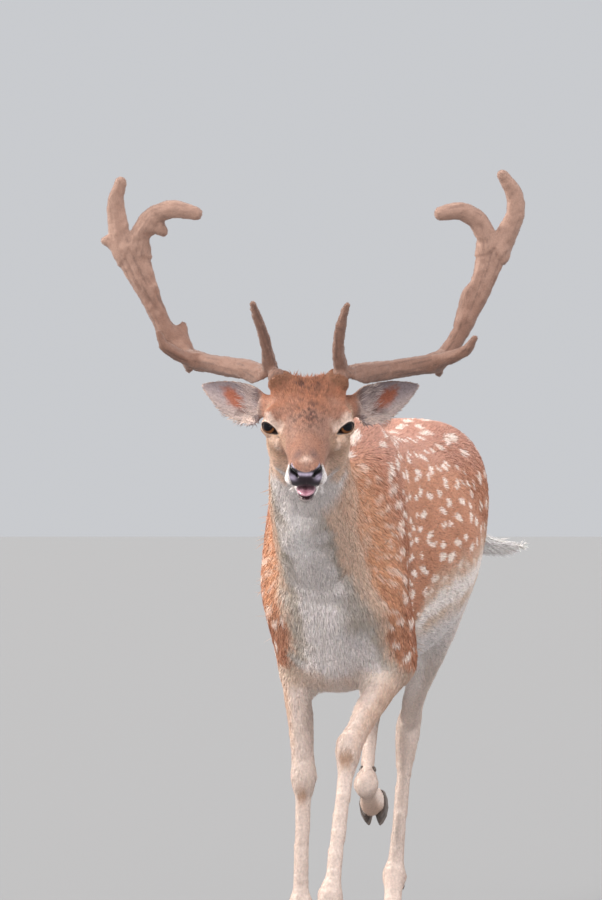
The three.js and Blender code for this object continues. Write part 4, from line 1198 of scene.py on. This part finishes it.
lies, hair = lie_at(roots)
sway = np.stack([ripple(roots, LOCKS, 31 + i) for i in range(3)], axis=1)
rise = ripple(roots, LOCKS, 35)
root_local = in_head(roots)
for side, eye in zip((1, -1), EYE_PLACES):
    outside, far = lid_angle(root_local, side)
    by_eye = (ramp(40, 24, far) * ramp(50, 20, outside))[:, None]
    lies = lies + by_eye * (unit((root_local - eye) @ HEAD_AXES.T) - lies)
    hair[:, [LENGTH, DEPTH]] *= 1 - NEAR_EYE * by_eye
by_seat = ramp(36, 24, np.linalg.norm(folded(root_local) - SEAT, axis=1))
hair[:, [LENGTH, DEPTH]] *= 1 - NEAR_SEAT * by_seat[:, None]
lies = lies + SWAY * sway + LIE_JITTER * rng.normal(size=lies.shape)
hair = hair * rng.uniform(SHORTEST, LONGEST, (len(hair), 1))
hair[:, LENGTH] *= 1 - NEAR_TAIL * near_node(roots, "tail", 0.01) * ramp(0.15, 0.20, roots[:, 0])
tuft_colours = coat_colours(roots, root_normals)
speckled = ramp(-0.10, -0.26, roots[:, 1]) * ramp(0.45, 0.52, roots[:, 2])
tuft_tone = rng.normal(1, TONE, len(roots)) + TONE_OF_LOCKS * rise
tuft_tone *= np.where(rng.random(len(roots)) < DARK_HAIRS + DARK_ON_NECK * speckled, DARK_TONE, 1)
tuft_tone = 1 + (tuft_tone - 1) * (1 - CALMER_LEGS * ramp(0.48, 0.42, roots[:, 2]))
tuft_colours = tuft_colours * tuft_tone[:, None] * (1 + rng.normal(0, TINT, (len(roots), 3)))
lift = hair[:, DEPTH] * (1 + LIFT_OF_LOCKS * rise)
order = np.argsort(roots[:, 1], kind="stable")
coat = []
for number, part in enumerate(np.array_split(order, math.ceil(len(order) / PIECE_TUFTS))):
    name = f"coat_{number + 1:02d}"
    shape = (hair[part, LENGTH], hair[part, WIDTH], lift[part])
    paints, maps = tuft_colours[part], root_uv[part]
    coat.append(lances(name, roots[part], root_normals[part], lies[part], *shape, paints, maps))
print("the coat is in", len(coat), "pieces")

# %% [markdown]
# Some hairs stand away from the coat: those inside the ears, a short crest behind the antlers, the
# white ones at the corners of the mouth, and a few loose ones that the neck is shedding. They are
# lances too, longer and thinner, with roots taken from among those of the coat.

# %% Add the long hairs of the ears, the crest, the corners of the mouth and the neck
BUNCHED, STRAY = 0.30, 0.15
HAIR_TONE = 0.12


def long_hairs(name, chosen, share, way, size, colour, loose=1.0):
    """Long hairs at some of the roots. Way is where they point on the left side, in the head's
    frame, and size is their length, their width and the least height of their tips."""
    index = np.flatnonzero(chosen & (rng.random(len(roots)) < share))
    length, width, lift = size
    bunch = np.stack([ripple(root_local[index], 13, 41 + i) for i in range(3)], axis=1)
    ways = to_left(root_local[index]) * unit(np.array(way)) + loose * BUNCHED * bunch
    ways = unit((ways + loose * STRAY * rng.normal(size=(len(index), 3))) @ HEAD_AXES.T)
    length = length * rng.uniform(0.6, 1.1, len(index))
    climb = (ways * root_normals[index]).sum(1)
    shades = colour * rng.normal(1, HAIR_TONE, (len(index), 1))
    shape = (length * np.sqrt(1 - climb**2), width, np.maximum(length * climb, lift))
    coat.append(
        lances(name, roots[index], root_normals[index], ways, *shape, shades, root_uv[index], bow=0.05)
    )
    print(name, "has", len(index), "hairs")


left_local = folded(root_local)
aside, ahead, high = left_local.T
in_ear = (ahead > 40) & (ahead < 190) & (high > -40) & (root_normals @ HEAD_AXES[:, 1] < -0.3)
in_ear = in_ear & (aside > 72) & (aside < 96)
long_hairs("ear_hairs", in_ear, 0.09, (0.9, -0.2, 0.45), (0.022, 0.00060, 0.0040), EAR_HAIR)
crest = (aside < 24) & (np.linalg.norm(root_local - (0, 62, 74), axis=1) < 42)
long_hairs("crest_hairs", crest, 0.30, (0, 0.9, 0.5), (0.013, 0.00080, 0.0035), 0.85 * CROWN, loose=1.6)
corner = np.linalg.norm(left_local - (27, -88, -56), axis=1) < 11
long_hairs("mouth_hairs", corner, 0.9, (0.6, 0.1, -1), (0.016, 0.0011, 0.0020), 0.9 * WHITE, loose=1.3)
shed = ramp(-0.06, -0.14, roots[:, 1]) * ramp(0.44, 0.50, roots[:, 2]) * ramp(0.78, 0.72, roots[:, 2])
shed = (shed > 0.5) & (np.abs(root_normals[:, 0]) > 0.75) & (ahead > 200)
long_hairs("shed_hairs", shed, 0.006, (0.9, -0.3, -0.5), (0.026, 0.00045, 0.0040), TAN, loose=2.5)

# %% [markdown]
# ## Finishes
#
# Every finish of the buck shows colours that are kept in an attribute of its pieces. Even so, a flat
# surface looks like plastic, so a fine noise makes it a little uneven in brightness and height. That
# noise is a node group, built once and placed in each material with its own values.

# %% The grain that all finishes share
GRAIN_HEIGHT = 0.001


def node(tree, kind, **values):
    """A new node. Each value goes to the socket of that name, or to the setting of that name."""
    made = tree.nodes.new(kind)
    for key, value in values.items():
        if key in made.inputs:
            made.inputs[key].default_value = value
        else:
            setattr(made, key, value)
    return made


grain = bpy.data.node_groups.new("grain", "ShaderNodeTree")
for name, way, kind in (
    ("Color", "INPUT", "Color"), ("Scale", "INPUT", "Float"), ("Dark", "INPUT", "Float"),
    ("Light", "INPUT", "Float"), ("Relief", "INPUT", "Float"),
    ("Color", "OUTPUT", "Color"), ("Normal", "OUTPUT", "Vector"),
):
    grain.interface.new_socket(name=name, in_out=way, socket_type=f"NodeSocket{kind}")
given, result = node(grain, "NodeGroupInput"), node(grain, "NodeGroupOutput")
where = node(grain, "ShaderNodeTexCoord")
noise = node(grain, "ShaderNodeTexNoise", Detail=3.0)
shade = node(grain, "ShaderNodeMapRange", **{"From Min": 0.3, "From Max": 0.7})
tinted = node(grain, "ShaderNodeMix", data_type="RGBA", blend_type="MULTIPLY")
tinted.inputs[0].default_value = 1.0
bump = node(grain, "ShaderNodeBump", Distance=GRAIN_HEIGHT)
for source, target in (
    (where.outputs["Object"], noise.inputs["Vector"]),
    (given.outputs["Scale"], noise.inputs["Scale"]),
    (noise.outputs["Fac"], shade.inputs["Value"]),
    (given.outputs["Dark"], shade.inputs["To Min"]),
    (given.outputs["Light"], shade.inputs["To Max"]),
    (given.outputs["Color"], tinted.inputs[6]),
    (shade.outputs["Result"], tinted.inputs[7]),
    (tinted.outputs[2], result.inputs["Color"]),
    (noise.outputs["Fac"], bump.inputs["Height"]),
    (given.outputs["Relief"], bump.inputs["Strength"]),
    (bump.outputs["Normal"], result.inputs["Normal"]),
):
    grain.links.new(source, target)
print("the grain has", len(grain.nodes), "nodes")

# %% [markdown]
# Skin and tufts share one finish. A second attribute says where skin is bare and damp, on the nose
# and lids, and there it shines more. Hair isn't shiny from the front, so it is rough with a soft
# sheen towards the edges.

# %% Hair
HAIR_ROUGH, BARE_ROUGH = 0.62, 0.34


def new_material(name):
    """A material and its shader."""
    material = bpy.data.materials.new(name)
    material.use_nodes = True
    return material, material.node_tree.nodes["Principled BSDF"]


def painted(name, roughness, scale, relief, shades=(0.88, 1.10), coat=0.0, sheen=0.0, specular=0.5):
    """A finish that shows a piece's own colours through the grain, and its shader. Shades are how
    bright the darkest and the lightest grain are, and relief is how strongly it stands up."""
    material, shader = new_material(name)
    tree = material.node_tree
    colour = node(tree, "ShaderNodeAttribute", attribute_name="coat")
    values = {"Scale": scale, "Dark": shades[0], "Light": shades[1], "Relief": relief}
    uneven = node(tree, "ShaderNodeGroup", node_tree=grain, **values)
    tree.links.new(colour.outputs["Color"], uneven.inputs["Color"])
    tree.links.new(uneven.outputs["Color"], shader.inputs["Base Color"])
    if relief:
        tree.links.new(uneven.outputs["Normal"], shader.inputs["Normal"])
    shader.inputs["Roughness"].default_value = roughness
    shader.inputs["Coat Weight"].default_value = coat
    shader.inputs["Coat Roughness"].default_value = 0.03
    shader.inputs["Sheen Weight"].default_value = sheen
    shader.inputs["Specular IOR Level"].default_value = specular
    return material, shader


hair_finish, shader = painted(
    "hair", HAIR_ROUGH, scale=260, relief=0.25, shades=(0.86, 1.12), sheen=0.05, specular=0.25
)
tree = hair_finish.node_tree
shader.inputs["Sheen Roughness"].default_value = 0.5
bare = node(tree, "ShaderNodeAttribute", attribute_name="bare")
gloss = node(tree, "ShaderNodeMapRange", **{"To Min": HAIR_ROUGH, "To Max": BARE_ROUGH})
tree.links.new(bare.outputs["Fac"], gloss.inputs["Value"])
tree.links.new(gloss.outputs["Result"], shader.inputs["Roughness"])
print("the hair is as rough as", HAIR_ROUGH, "and the bare skin as", BARE_ROUGH)

# %% [markdown]
# The skin takes the place of all the solids that are flesh. The tufts ride along with it, and take
# the place of none, since no solid stands for hair alone.

# %% Take the place of the flesh
FLESH = BODY_FLESH + ["head", "lower_jaw", "ear_left", "ear_right"]


def dress(piece, finish, slot, *nodes):
    """Gives a piece its finish, and says which solids it takes the place of. Its slot is not used."""
    piece.data.materials.clear()
    piece.data.materials.append(finish)
    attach(piece, "root")
    if nodes:
        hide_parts(*nodes)


skin.data.shade_smooth()
dress(skin, hair_finish, "chestnut_coat", *FLESH)
for piece in coat:
    dress(piece, hair_finish, "chestnut_coat")
print("the skin takes the place of", len(FLESH), "solids")

# %% [markdown]
# ## Antlers, eyes, hooves and tongue
#
# The antlers are still growing, so they are covered in velvet: a fine fuzz over a surface with
# shallow grooves that run lengthways. Each antler's solids are melted into one piece, together with
# a plug that reaches down into the head. The grooves, streaks and fuzz all follow the lines through
# the middle of its branches.

# %% Melt each antler into one piece
ANTLER_VOXEL = 0.0023
VELVET_DEPTH = 0.0009
GROOVES, LUMPS = 0.00030, 0.00030
FULLER_TIPS, FULLER_TINE = 0.0024, 0.0006
BRANCHES = {  # points through the middle of each branch, in millimetres
    "left": (
        (
            (79, -558, 906), (127, -496, 917), (163, -461, 924),
            (197, -434, 932), (218, -412, 958), (234, -402, 990),
        ),
        ((234, -402, 990), (253, -389, 1034), (265, -382, 1070), (273, -378, 1094)),
        ((75, -558, 898), (70, -596, 939), (77, -626, 978), (90, -651, 1010)),
        ((197, -442, 932), (226, -466, 939), (247, -478, 949), (258, -486, 965)),
        ((269, -378, 1094), (263, -381, 1119), (251, -386, 1143), (227, -394, 1156), (199, -405, 1152)),
        ((281, -376, 1096), (294, -374, 1124), (307, -374, 1152), (305, -376, 1182), (288, -386, 1210)),
    ),
    "right": (
        (
            (-43, -558, 906), (-76, -526, 919), (-108, -496, 923),
            (-138, -466, 928), (-166, -441, 934), (-215, -406, 974),
        ),
        ((-215, -406, 974), (-236, -396, 1018), (-257, -388, 1061), (-271, -381, 1094)),
        ((-33, -558, 898), (-35, -596, 944), (-43, -626, 986), (-49, -651, 1013)),
        ((-159, -446, 931), (-187, -466, 941), (-207, -481, 955), (-214, -486, 974)),
        (
            (-265, -381, 1094), (-258, -384, 1126), (-240, -391, 1150),
            (-207, -401, 1161), (-171, -410, 1154),
        ),
        ((-279, -378, 1096), (-293, -376, 1130), (-298, -378, 1170), (-288, -385, 1203)),
    ),
}
ANTLER_ROOT = (46.5, 49, 59)  # in the head's frame, in millimetres, where the left plug lies
SEAT_PLUG = 0.0130
SMOOTH_ANTLER = 26
TIP_RADII = (0, 0, 0.0050, 0.0056, 0.0086, 0.0064)


def branch_frame(places, branches):
    """The nearest branch's direction, how far along all branches that is, and the way out from it."""
    best = np.full(len(places), 9.0)
    way, out, run = np.zeros_like(places), np.zeros_like(places), np.zeros(len(places))
    total = 0.0
    for points in branches:
        points = np.array(points) * MM
        for start, end in zip(points, points[1:]):
            along = end - start
            size = np.linalg.norm(along)
            share = np.clip((places - start) @ along / size**2, 0, 1)
            off = places - start - share[:, None] * along
            far = np.linalg.norm(off, axis=1)
            nearer = far < best
            best[nearer] = far[nearer]
            way[nearer], out[nearer] = along / size, off[nearer]
            run[nearer] = total + share[nearer] * size
            total += size
        total += 1.0
    return way, run, out


def stretched(run, out, squeeze=0.10):
    """Places for noise that is drawn out along the branch."""
    return out + np.stack([run * squeeze, run * 0, run * 0], axis=1)


def ball_at(place, radius, fineness):
    """A round ball, to be melted into an antler."""
    bpy.ops.mesh.primitive_ico_sphere_add(subdivisions=fineness, radius=radius, location=place)
    return bpy.context.object


antlers = []
for name, branches in BRANCHES.items():
    nodes = [node_name for node_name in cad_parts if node_name.startswith(f"antler_{name}")]
    antler = copy_of(nodes, f"antler_{name}_velvet")
    bpy.ops.object.select_all(action="DESELECT")
    root_place = ANTLER_ROOT if name == "left" else other_side(ANTLER_ROOT)
    balls = [ball_at(from_head(root_place), SEAT_PLUG, 4)]
    for branch, radius in zip(branches, TIP_RADII):
        if radius:
            balls.append(ball_at(np.array(branch[-1]) * MM, radius, 3))
    pick(*balls, antler)
    bpy.ops.object.join()
    melt(antler, ANTLER_VOXEL)
    mesh = antler.data
    near = Neighbours(mesh)
    places = near.smooth(points_of(mesh), SMOOTH_ANTLER)
    set_points(mesh, places)
    _, run, out = branch_frame(places, branches)
    groove = ripple(stretched(run, out), 0.0055, 51) + 0.6 * ripple(stretched(run, out, 0.3), 0.012, 52)
    lump = ripple(places, 0.016, 53)
    branch, share = np.divmod(run, 1.0)
    swell = np.where(branch >= 4, FULLER_TIPS * ramp(0.02, 0.10, share), 0)
    swell = swell + np.where(branch == 2, FULLER_TINE * ramp(0.02, 0.09, share), 0)
    outward = GROOVES * groove + LUMPS * lump + swell - VELVET_DEPTH
    places = places + outward[:, None] * normals_of(mesh)
    set_points(mesh, near.smooth(places, 1))
    antlers.append((antler, branches, nodes))
print("the antlers are", len(antlers), "pieces")

# %% [markdown]
# Velvet is brown low down and paler towards the tips, with dark streaks along the branches where
# vessels run under it. Its fuzz is short and points along the branch. It is painted paler than the
# skin below, and paler still at its tips, as a painted sheen of the light from behind.

# %% Colour the velvet and grow its fuzz
VELVET = paint(122, 86, 70)
VELVET_DARK = paint(74, 50, 42)
VELVET_PALE = paint(178, 144, 128)
FUZZ_SPACING, FUZZ_WIDTH = 0.0020, 0.00036
FUZZ_LENGTHS, FUZZ_LIFTS = (0.0014, 0.0028), (0.0003, 0.0009)
# the fuzz is painted paler, and lightest at its tips, as a painted sheen of backlit velvet
FUZZ_ROOT_TO_TIP = (0.98, 1.10, 1.22)
FUZZ_STRAY, FUZZ_PAINTED_SHEEN, FUZZ_TONE = 0.5, 0.25, 0.10


def velvet_colours(places, branches):
    """The colour of the velvet at each of these places."""
    _, run, out = branch_frame(places, branches)
    streak = ripple(stretched(run, out, 0.07), 0.0045, 54)
    spots = ripple(places, 0.012, 55)
    high = ramp(0.98, 1.12, places[:, 2] + 0.01 * spots)
    return laid(VELVET, [
        (VELVET_PALE, 0.15 + 0.55 * high + 0.04 * spots),
        (VELVET_DARK, 0.55 * ramp(0.35, 1.5, streak) * (1 - 0.4 * high)),
    ])


velvet_pieces = []
for antler, branches, nodes in antlers:
    mesh = antler.data
    places, normals = points_of(mesh), normals_of(mesh)
    set_colour(mesh, velvet_colours(places, branches))
    unwrap(antler)
    mesh.shade_smooth()
    roots, root_normals, root_uv = scatter(mesh, places, normals, np.full(len(places), FUZZ_SPACING))
    count = len(roots)
    way = branch_frame(roots, branches)[0]
    # painted sheen: the fuzz is made paler than the velvet under it
    colours = over(velvet_colours(roots, branches), VELVET_PALE, np.full(count, FUZZ_PAINTED_SHEEN))
    colours = colours * rng.normal(1, FUZZ_TONE, (count, 1))
    lies = way + FUZZ_STRAY * rng.normal(size=way.shape)
    shape = (rng.uniform(*FUZZ_LENGTHS, count), FUZZ_WIDTH, rng.uniform(*FUZZ_LIFTS, count))
    name = antler.name.replace("velvet", "fuzz")
    fuzz = lances(name, roots, root_normals, lies, *shape, colours, root_uv, tone=FUZZ_ROOT_TO_TIP)
    velvet_pieces.append((antler, fuzz, nodes))
    print(antler.name, "has", len(mesh.polygons), "faces and", count, "tufts of fuzz")

# %% [markdown]
# Each eye is a ball with a slightly fuller cornea. Its colours go round its own axis, which looks
# outwards and level with the ground: a wide pupil, an amber iris with a dark rim, and dark brown.
# The top of the iris is painted dark brown, as shade under the upper lid.

# %% Make the eyes
EYE_TURN, EYE_RISE = 36, 20  # degrees round from the nose and up, in the head's frame
EYE_SMALLER = 0.0002
PUPIL = (0.0080, 0.0064)
IRIS = 0.0108
CORNEA, CORNEA_EDGE = 0.0007, (0.0125, 0.0070)
RAYS = 41
IRIS_AMBER = paint(112, 70, 40)
IRIS_BROWN = paint(50, 32, 24)
PUPIL_BLACK = paint(10, 10, 16)
EYE_EDGE = paint(70, 50, 42)

eyes = []
for side, name in ((1, "eye_left"), (-1, "eye_right")):
    bpy.ops.object.select_all(action="DESELECT")
    bpy.ops.mesh.primitive_uv_sphere_add(segments=72, ring_count=56, radius=EYE_RADIUS * MM - EYE_SMALLER)
    eye = bpy.context.object
    eye.name = eye.data.name = name.replace("eye", "eyeball")
    turn, climb = side * math.radians(EYE_TURN), math.radians(EYE_RISE)
    level = math.cos(climb)
    axis = HEAD_AXES @ np.array([math.sin(turn) * level, -math.cos(turn) * level, math.sin(climb)])
    flat = unit(np.cross([0, 0, 1], axis))
    up = np.cross(axis, flat)
    ball = points_of(eye.data)  # z is the axis that the eye looks along
    off_axis = np.linalg.norm(ball[:, :2], axis=1)
    front = ball[:, 2] > 0
    fuller = 1 + (CORNEA / EYE_RADIUS / MM) * ramp(*CORNEA_EDGE, off_axis) * front
    rays = np.sin(np.arctan2(ball[:, 1], ball[:, 0]) * RAYS + 3 * np.sin(off_axis * 1500)) * 0.5 + 0.5
    # the iris is amber low down and painted dark brown above, as shade from the upper lid
    amber_below_lid_shade = ramp(0.2, 1.0, 0.62 - ball[:, 1] / 0.012 + 0.35 * rays)
    off_pupil = np.hypot(ball[:, 0] / PUPIL[0], ball[:, 1] / PUPIL[1])
    set_colour(eye.data, laid(IRIS_BROWN, [
        (IRIS_AMBER, amber_below_lid_shade),
        (PUPIL_BLACK, ramp(1.14, 0.96, off_pupil)),
        (LID_BLACK, np.maximum(ramp(IRIS - 0.0012, IRIS, off_axis), ~front)),
        (EYE_EDGE, ramp(IRIS + 0.0006, IRIS + 0.003, off_axis) * front),
    ]))
    ball = ball * fuller[:, None]
    set_points(eye.data, ball @ np.array([flat, up, axis]) + np.array(middle(name)))
    eye.data.shade_smooth()
    eyes.append((eye, name))
print("the eyes look level")

# %% [markdown]
# The claws and dewclaws are melted, smoothed and given the growth rings of horn. A dewclaw is also
# stretched inwards until it meets the skin. The tongue gets a hollow down its middle.
# The hollow is painted darker, as shade in the groove.

# %% Make the hooves, dewclaws and tongue
CLAW_VOXEL, TONGUE_VOXEL = 0.0013, 0.0012
RING_GAP, RING_HEIGHT = 0.0030, 0.00010
HORN = paint(80, 66, 58)
SPUR_SIZE, SPUR_HALF, SPUR_SUNK = 0.76, 0.0060, 0.0035
SPUR_STRETCH, SPUR_PAST, SPUR_LONGEST = 0.8, 0.002, 0.012
# the darker pink is painted shade in the tongue's groove
TONGUE_PINK, TONGUE_DARK = paint(196, 146, 160), paint(150, 84, 104)
HOLLOW, ROUGH_TONGUE = 0.0012, 0.00012
skin_corners = [Vector(place) for place in points_of(skin.data)]
skin_tree = BVHTree.FromPolygons(skin_corners, [face.vertices for face in skin.data.polygons])
horn_pieces = []
for name in sorted(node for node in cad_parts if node.startswith(("hoof", "dewclaw"))):
    claw = copy_of([name], name.replace("hoof", "claw").replace("dewclaw", "spur"))
    melt(claw, CLAW_VOXEL)
    mesh = claw.data
    near = Neighbours(mesh)
    places = near.smooth(points_of(mesh), 10)
    set_points(mesh, places)
    if name.startswith("dewclaw"):
        centre = places.mean(0)
        spot = np.array(skin_tree.find_nearest(Vector(centre))[0])
        way = unit(spot - centre)
        nearer = np.maximum((places - centre) @ way, 0) / SPUR_HALF
        stretch = (nearer * (np.linalg.norm(spot - centre) + SPUR_PAST))[:, None].clip(0, SPUR_LONGEST)
        places = places + stretch * way * SPUR_STRETCH
        places = spot + SPUR_SIZE * (places + SPUR_SUNK * way - spot)
    rings = np.sin(places[:, 2] / RING_GAP * 2 * np.pi + 1.5 * ripple(places, 0.02, 61))
    places = places + RING_HEIGHT * rings[:, None] * normals_of(mesh)
    set_points(mesh, places)
    shade = 0.10 * rings + 0.22 * ripple(places * (1, 1, 0.25), 0.006, 62)
    set_colour(mesh, HORN * (1 + shade)[:, None])
    mesh.shade_smooth()
    horn_pieces.append((claw, name))

tongue = copy_of(["tongue"], "tongue_soft")
melt(tongue, TONGUE_VOXEL)
near = Neighbours(tongue.data)
places = near.smooth(points_of(tongue.data), 16)
set_points(tongue.data, places)
flat = in_head(places)
hollow = ramp(5, 0, np.abs(flat[:, 0])) * ramp(0, 0.6, normals_of(tongue.data) @ HEAD_AXES[:, 2])
places = places - (HOLLOW * hollow)[:, None] * HEAD_AXES[:, 2]
places = places + ROUGH_TONGUE * ripple(places, 0.0022, 63)[:, None] * normals_of(tongue.data)
set_points(tongue.data, places)
# the tongue is painted darker in its hollow, as shade in the groove, and a little uneven all over
darker = 0.55 * hollow + 0.15 * ripple(places, 0.006, 64)
set_colour(tongue.data, over(TONGUE_PINK, TONGUE_DARK, darker))
tongue.data.shade_smooth()
print("the claws are", len(horn_pieces), "pieces")

# %% [markdown]
# These finishes differ only in a few values. Velvet is dull with a sheen, horn has a low shine, the
# tongue is wet, and the eyes are smooth enough to mirror the sky.

# %% Their finishes
velvet_finish, _ = painted("velvet", roughness=0.75, scale=420, relief=0.3, sheen=0.25)
horn_finish, _ = painted("horn", roughness=0.38, scale=300, relief=0.15)
eye_finish, _ = painted("eye", roughness=0.06, scale=300, relief=0, specular=0.18)
tongue_finish, _ = painted("tongue", roughness=0.38, scale=500, relief=0.25, coat=0.15)
for antler, fuzz, nodes in velvet_pieces:
    dress(antler, velvet_finish, "velvet", *nodes)
    dress(fuzz, velvet_finish, "velvet")
for eye, name in eyes:
    dress(eye, eye_finish, "eye", name)
for claw, name in horn_pieces:
    dress(claw, horn_finish, "horn", name)
dress(tongue, tongue_finish, "tongue", "tongue")
print("every solid has its finish")

# %% [markdown]
# ## The studio
#
# A plain floor runs up to a plain sky of nearly the same grey. Four wide suns light the buck: a warm
# one high in front, a very soft one low in front that opens the shadows, and one from each side that
# draws a bright rim along its back. Suns light the floor evenly, where lamps would leave a pool.

# %% Floor and light
FLOOR_HALF, FLOOR_BACK = 40, 15
FLOOR_GREY = paint(140, 141, 143)
SKY, SKY_COLOUR = 0.62, (0.94, 0.96, 1.0)

floor_finish, shader = new_material("floor")
shader.inputs["Base Color"].default_value = (*FLOOR_GREY, 1)
shader.inputs["Roughness"].default_value = 0.9

bpy.ops.object.select_all(action="DESELECT")
bpy.ops.mesh.primitive_plane_add(size=2 * FLOOR_HALF, location=(0, FLOOR_BACK, 0))
floor = bpy.context.object
floor.name = "floor"
floor.data.materials.append(floor_finish)

sky = bpy.data.worlds.new("sky")
bpy.context.scene.world = sky
sky.use_nodes = True
background = sky.node_tree.nodes["Background"]
background.inputs["Color"].default_value = (*SKY_COLOUR, 1)
background.inputs["Strength"].default_value = SKY
bpy.context.scene.view_settings.view_transform = "Standard"


def sun(name, place, strength, spread, colour):
    """A wide sun that shines from this place towards the origin."""
    bpy.ops.object.light_add(type="SUN", location=place)
    made = bpy.context.object
    made.name = name
    made.data.energy = strength
    made.data.angle = math.radians(spread)
    made.data.color = colour
    made.rotation_euler = Vector(place).to_track_quat("Z", "Y").to_euler()


sun("key_sun", (-2.0, -4.6, 3.0), 1.20, 18, (1.0, 0.97, 0.94))
sun("fill_sun", (-0.4, -5.0, 0.5), 1.50, 60, (1.0, 0.98, 0.96))
sun("left_sun", (-4.0, 0.6, 2.4), 4.0, 12, (1.0, 0.94, 0.86))
sun("side_sun", (3.8, -0.2, 3.4), 1.7, 30, (1.0, 0.97, 0.95))
print("four suns light the buck")
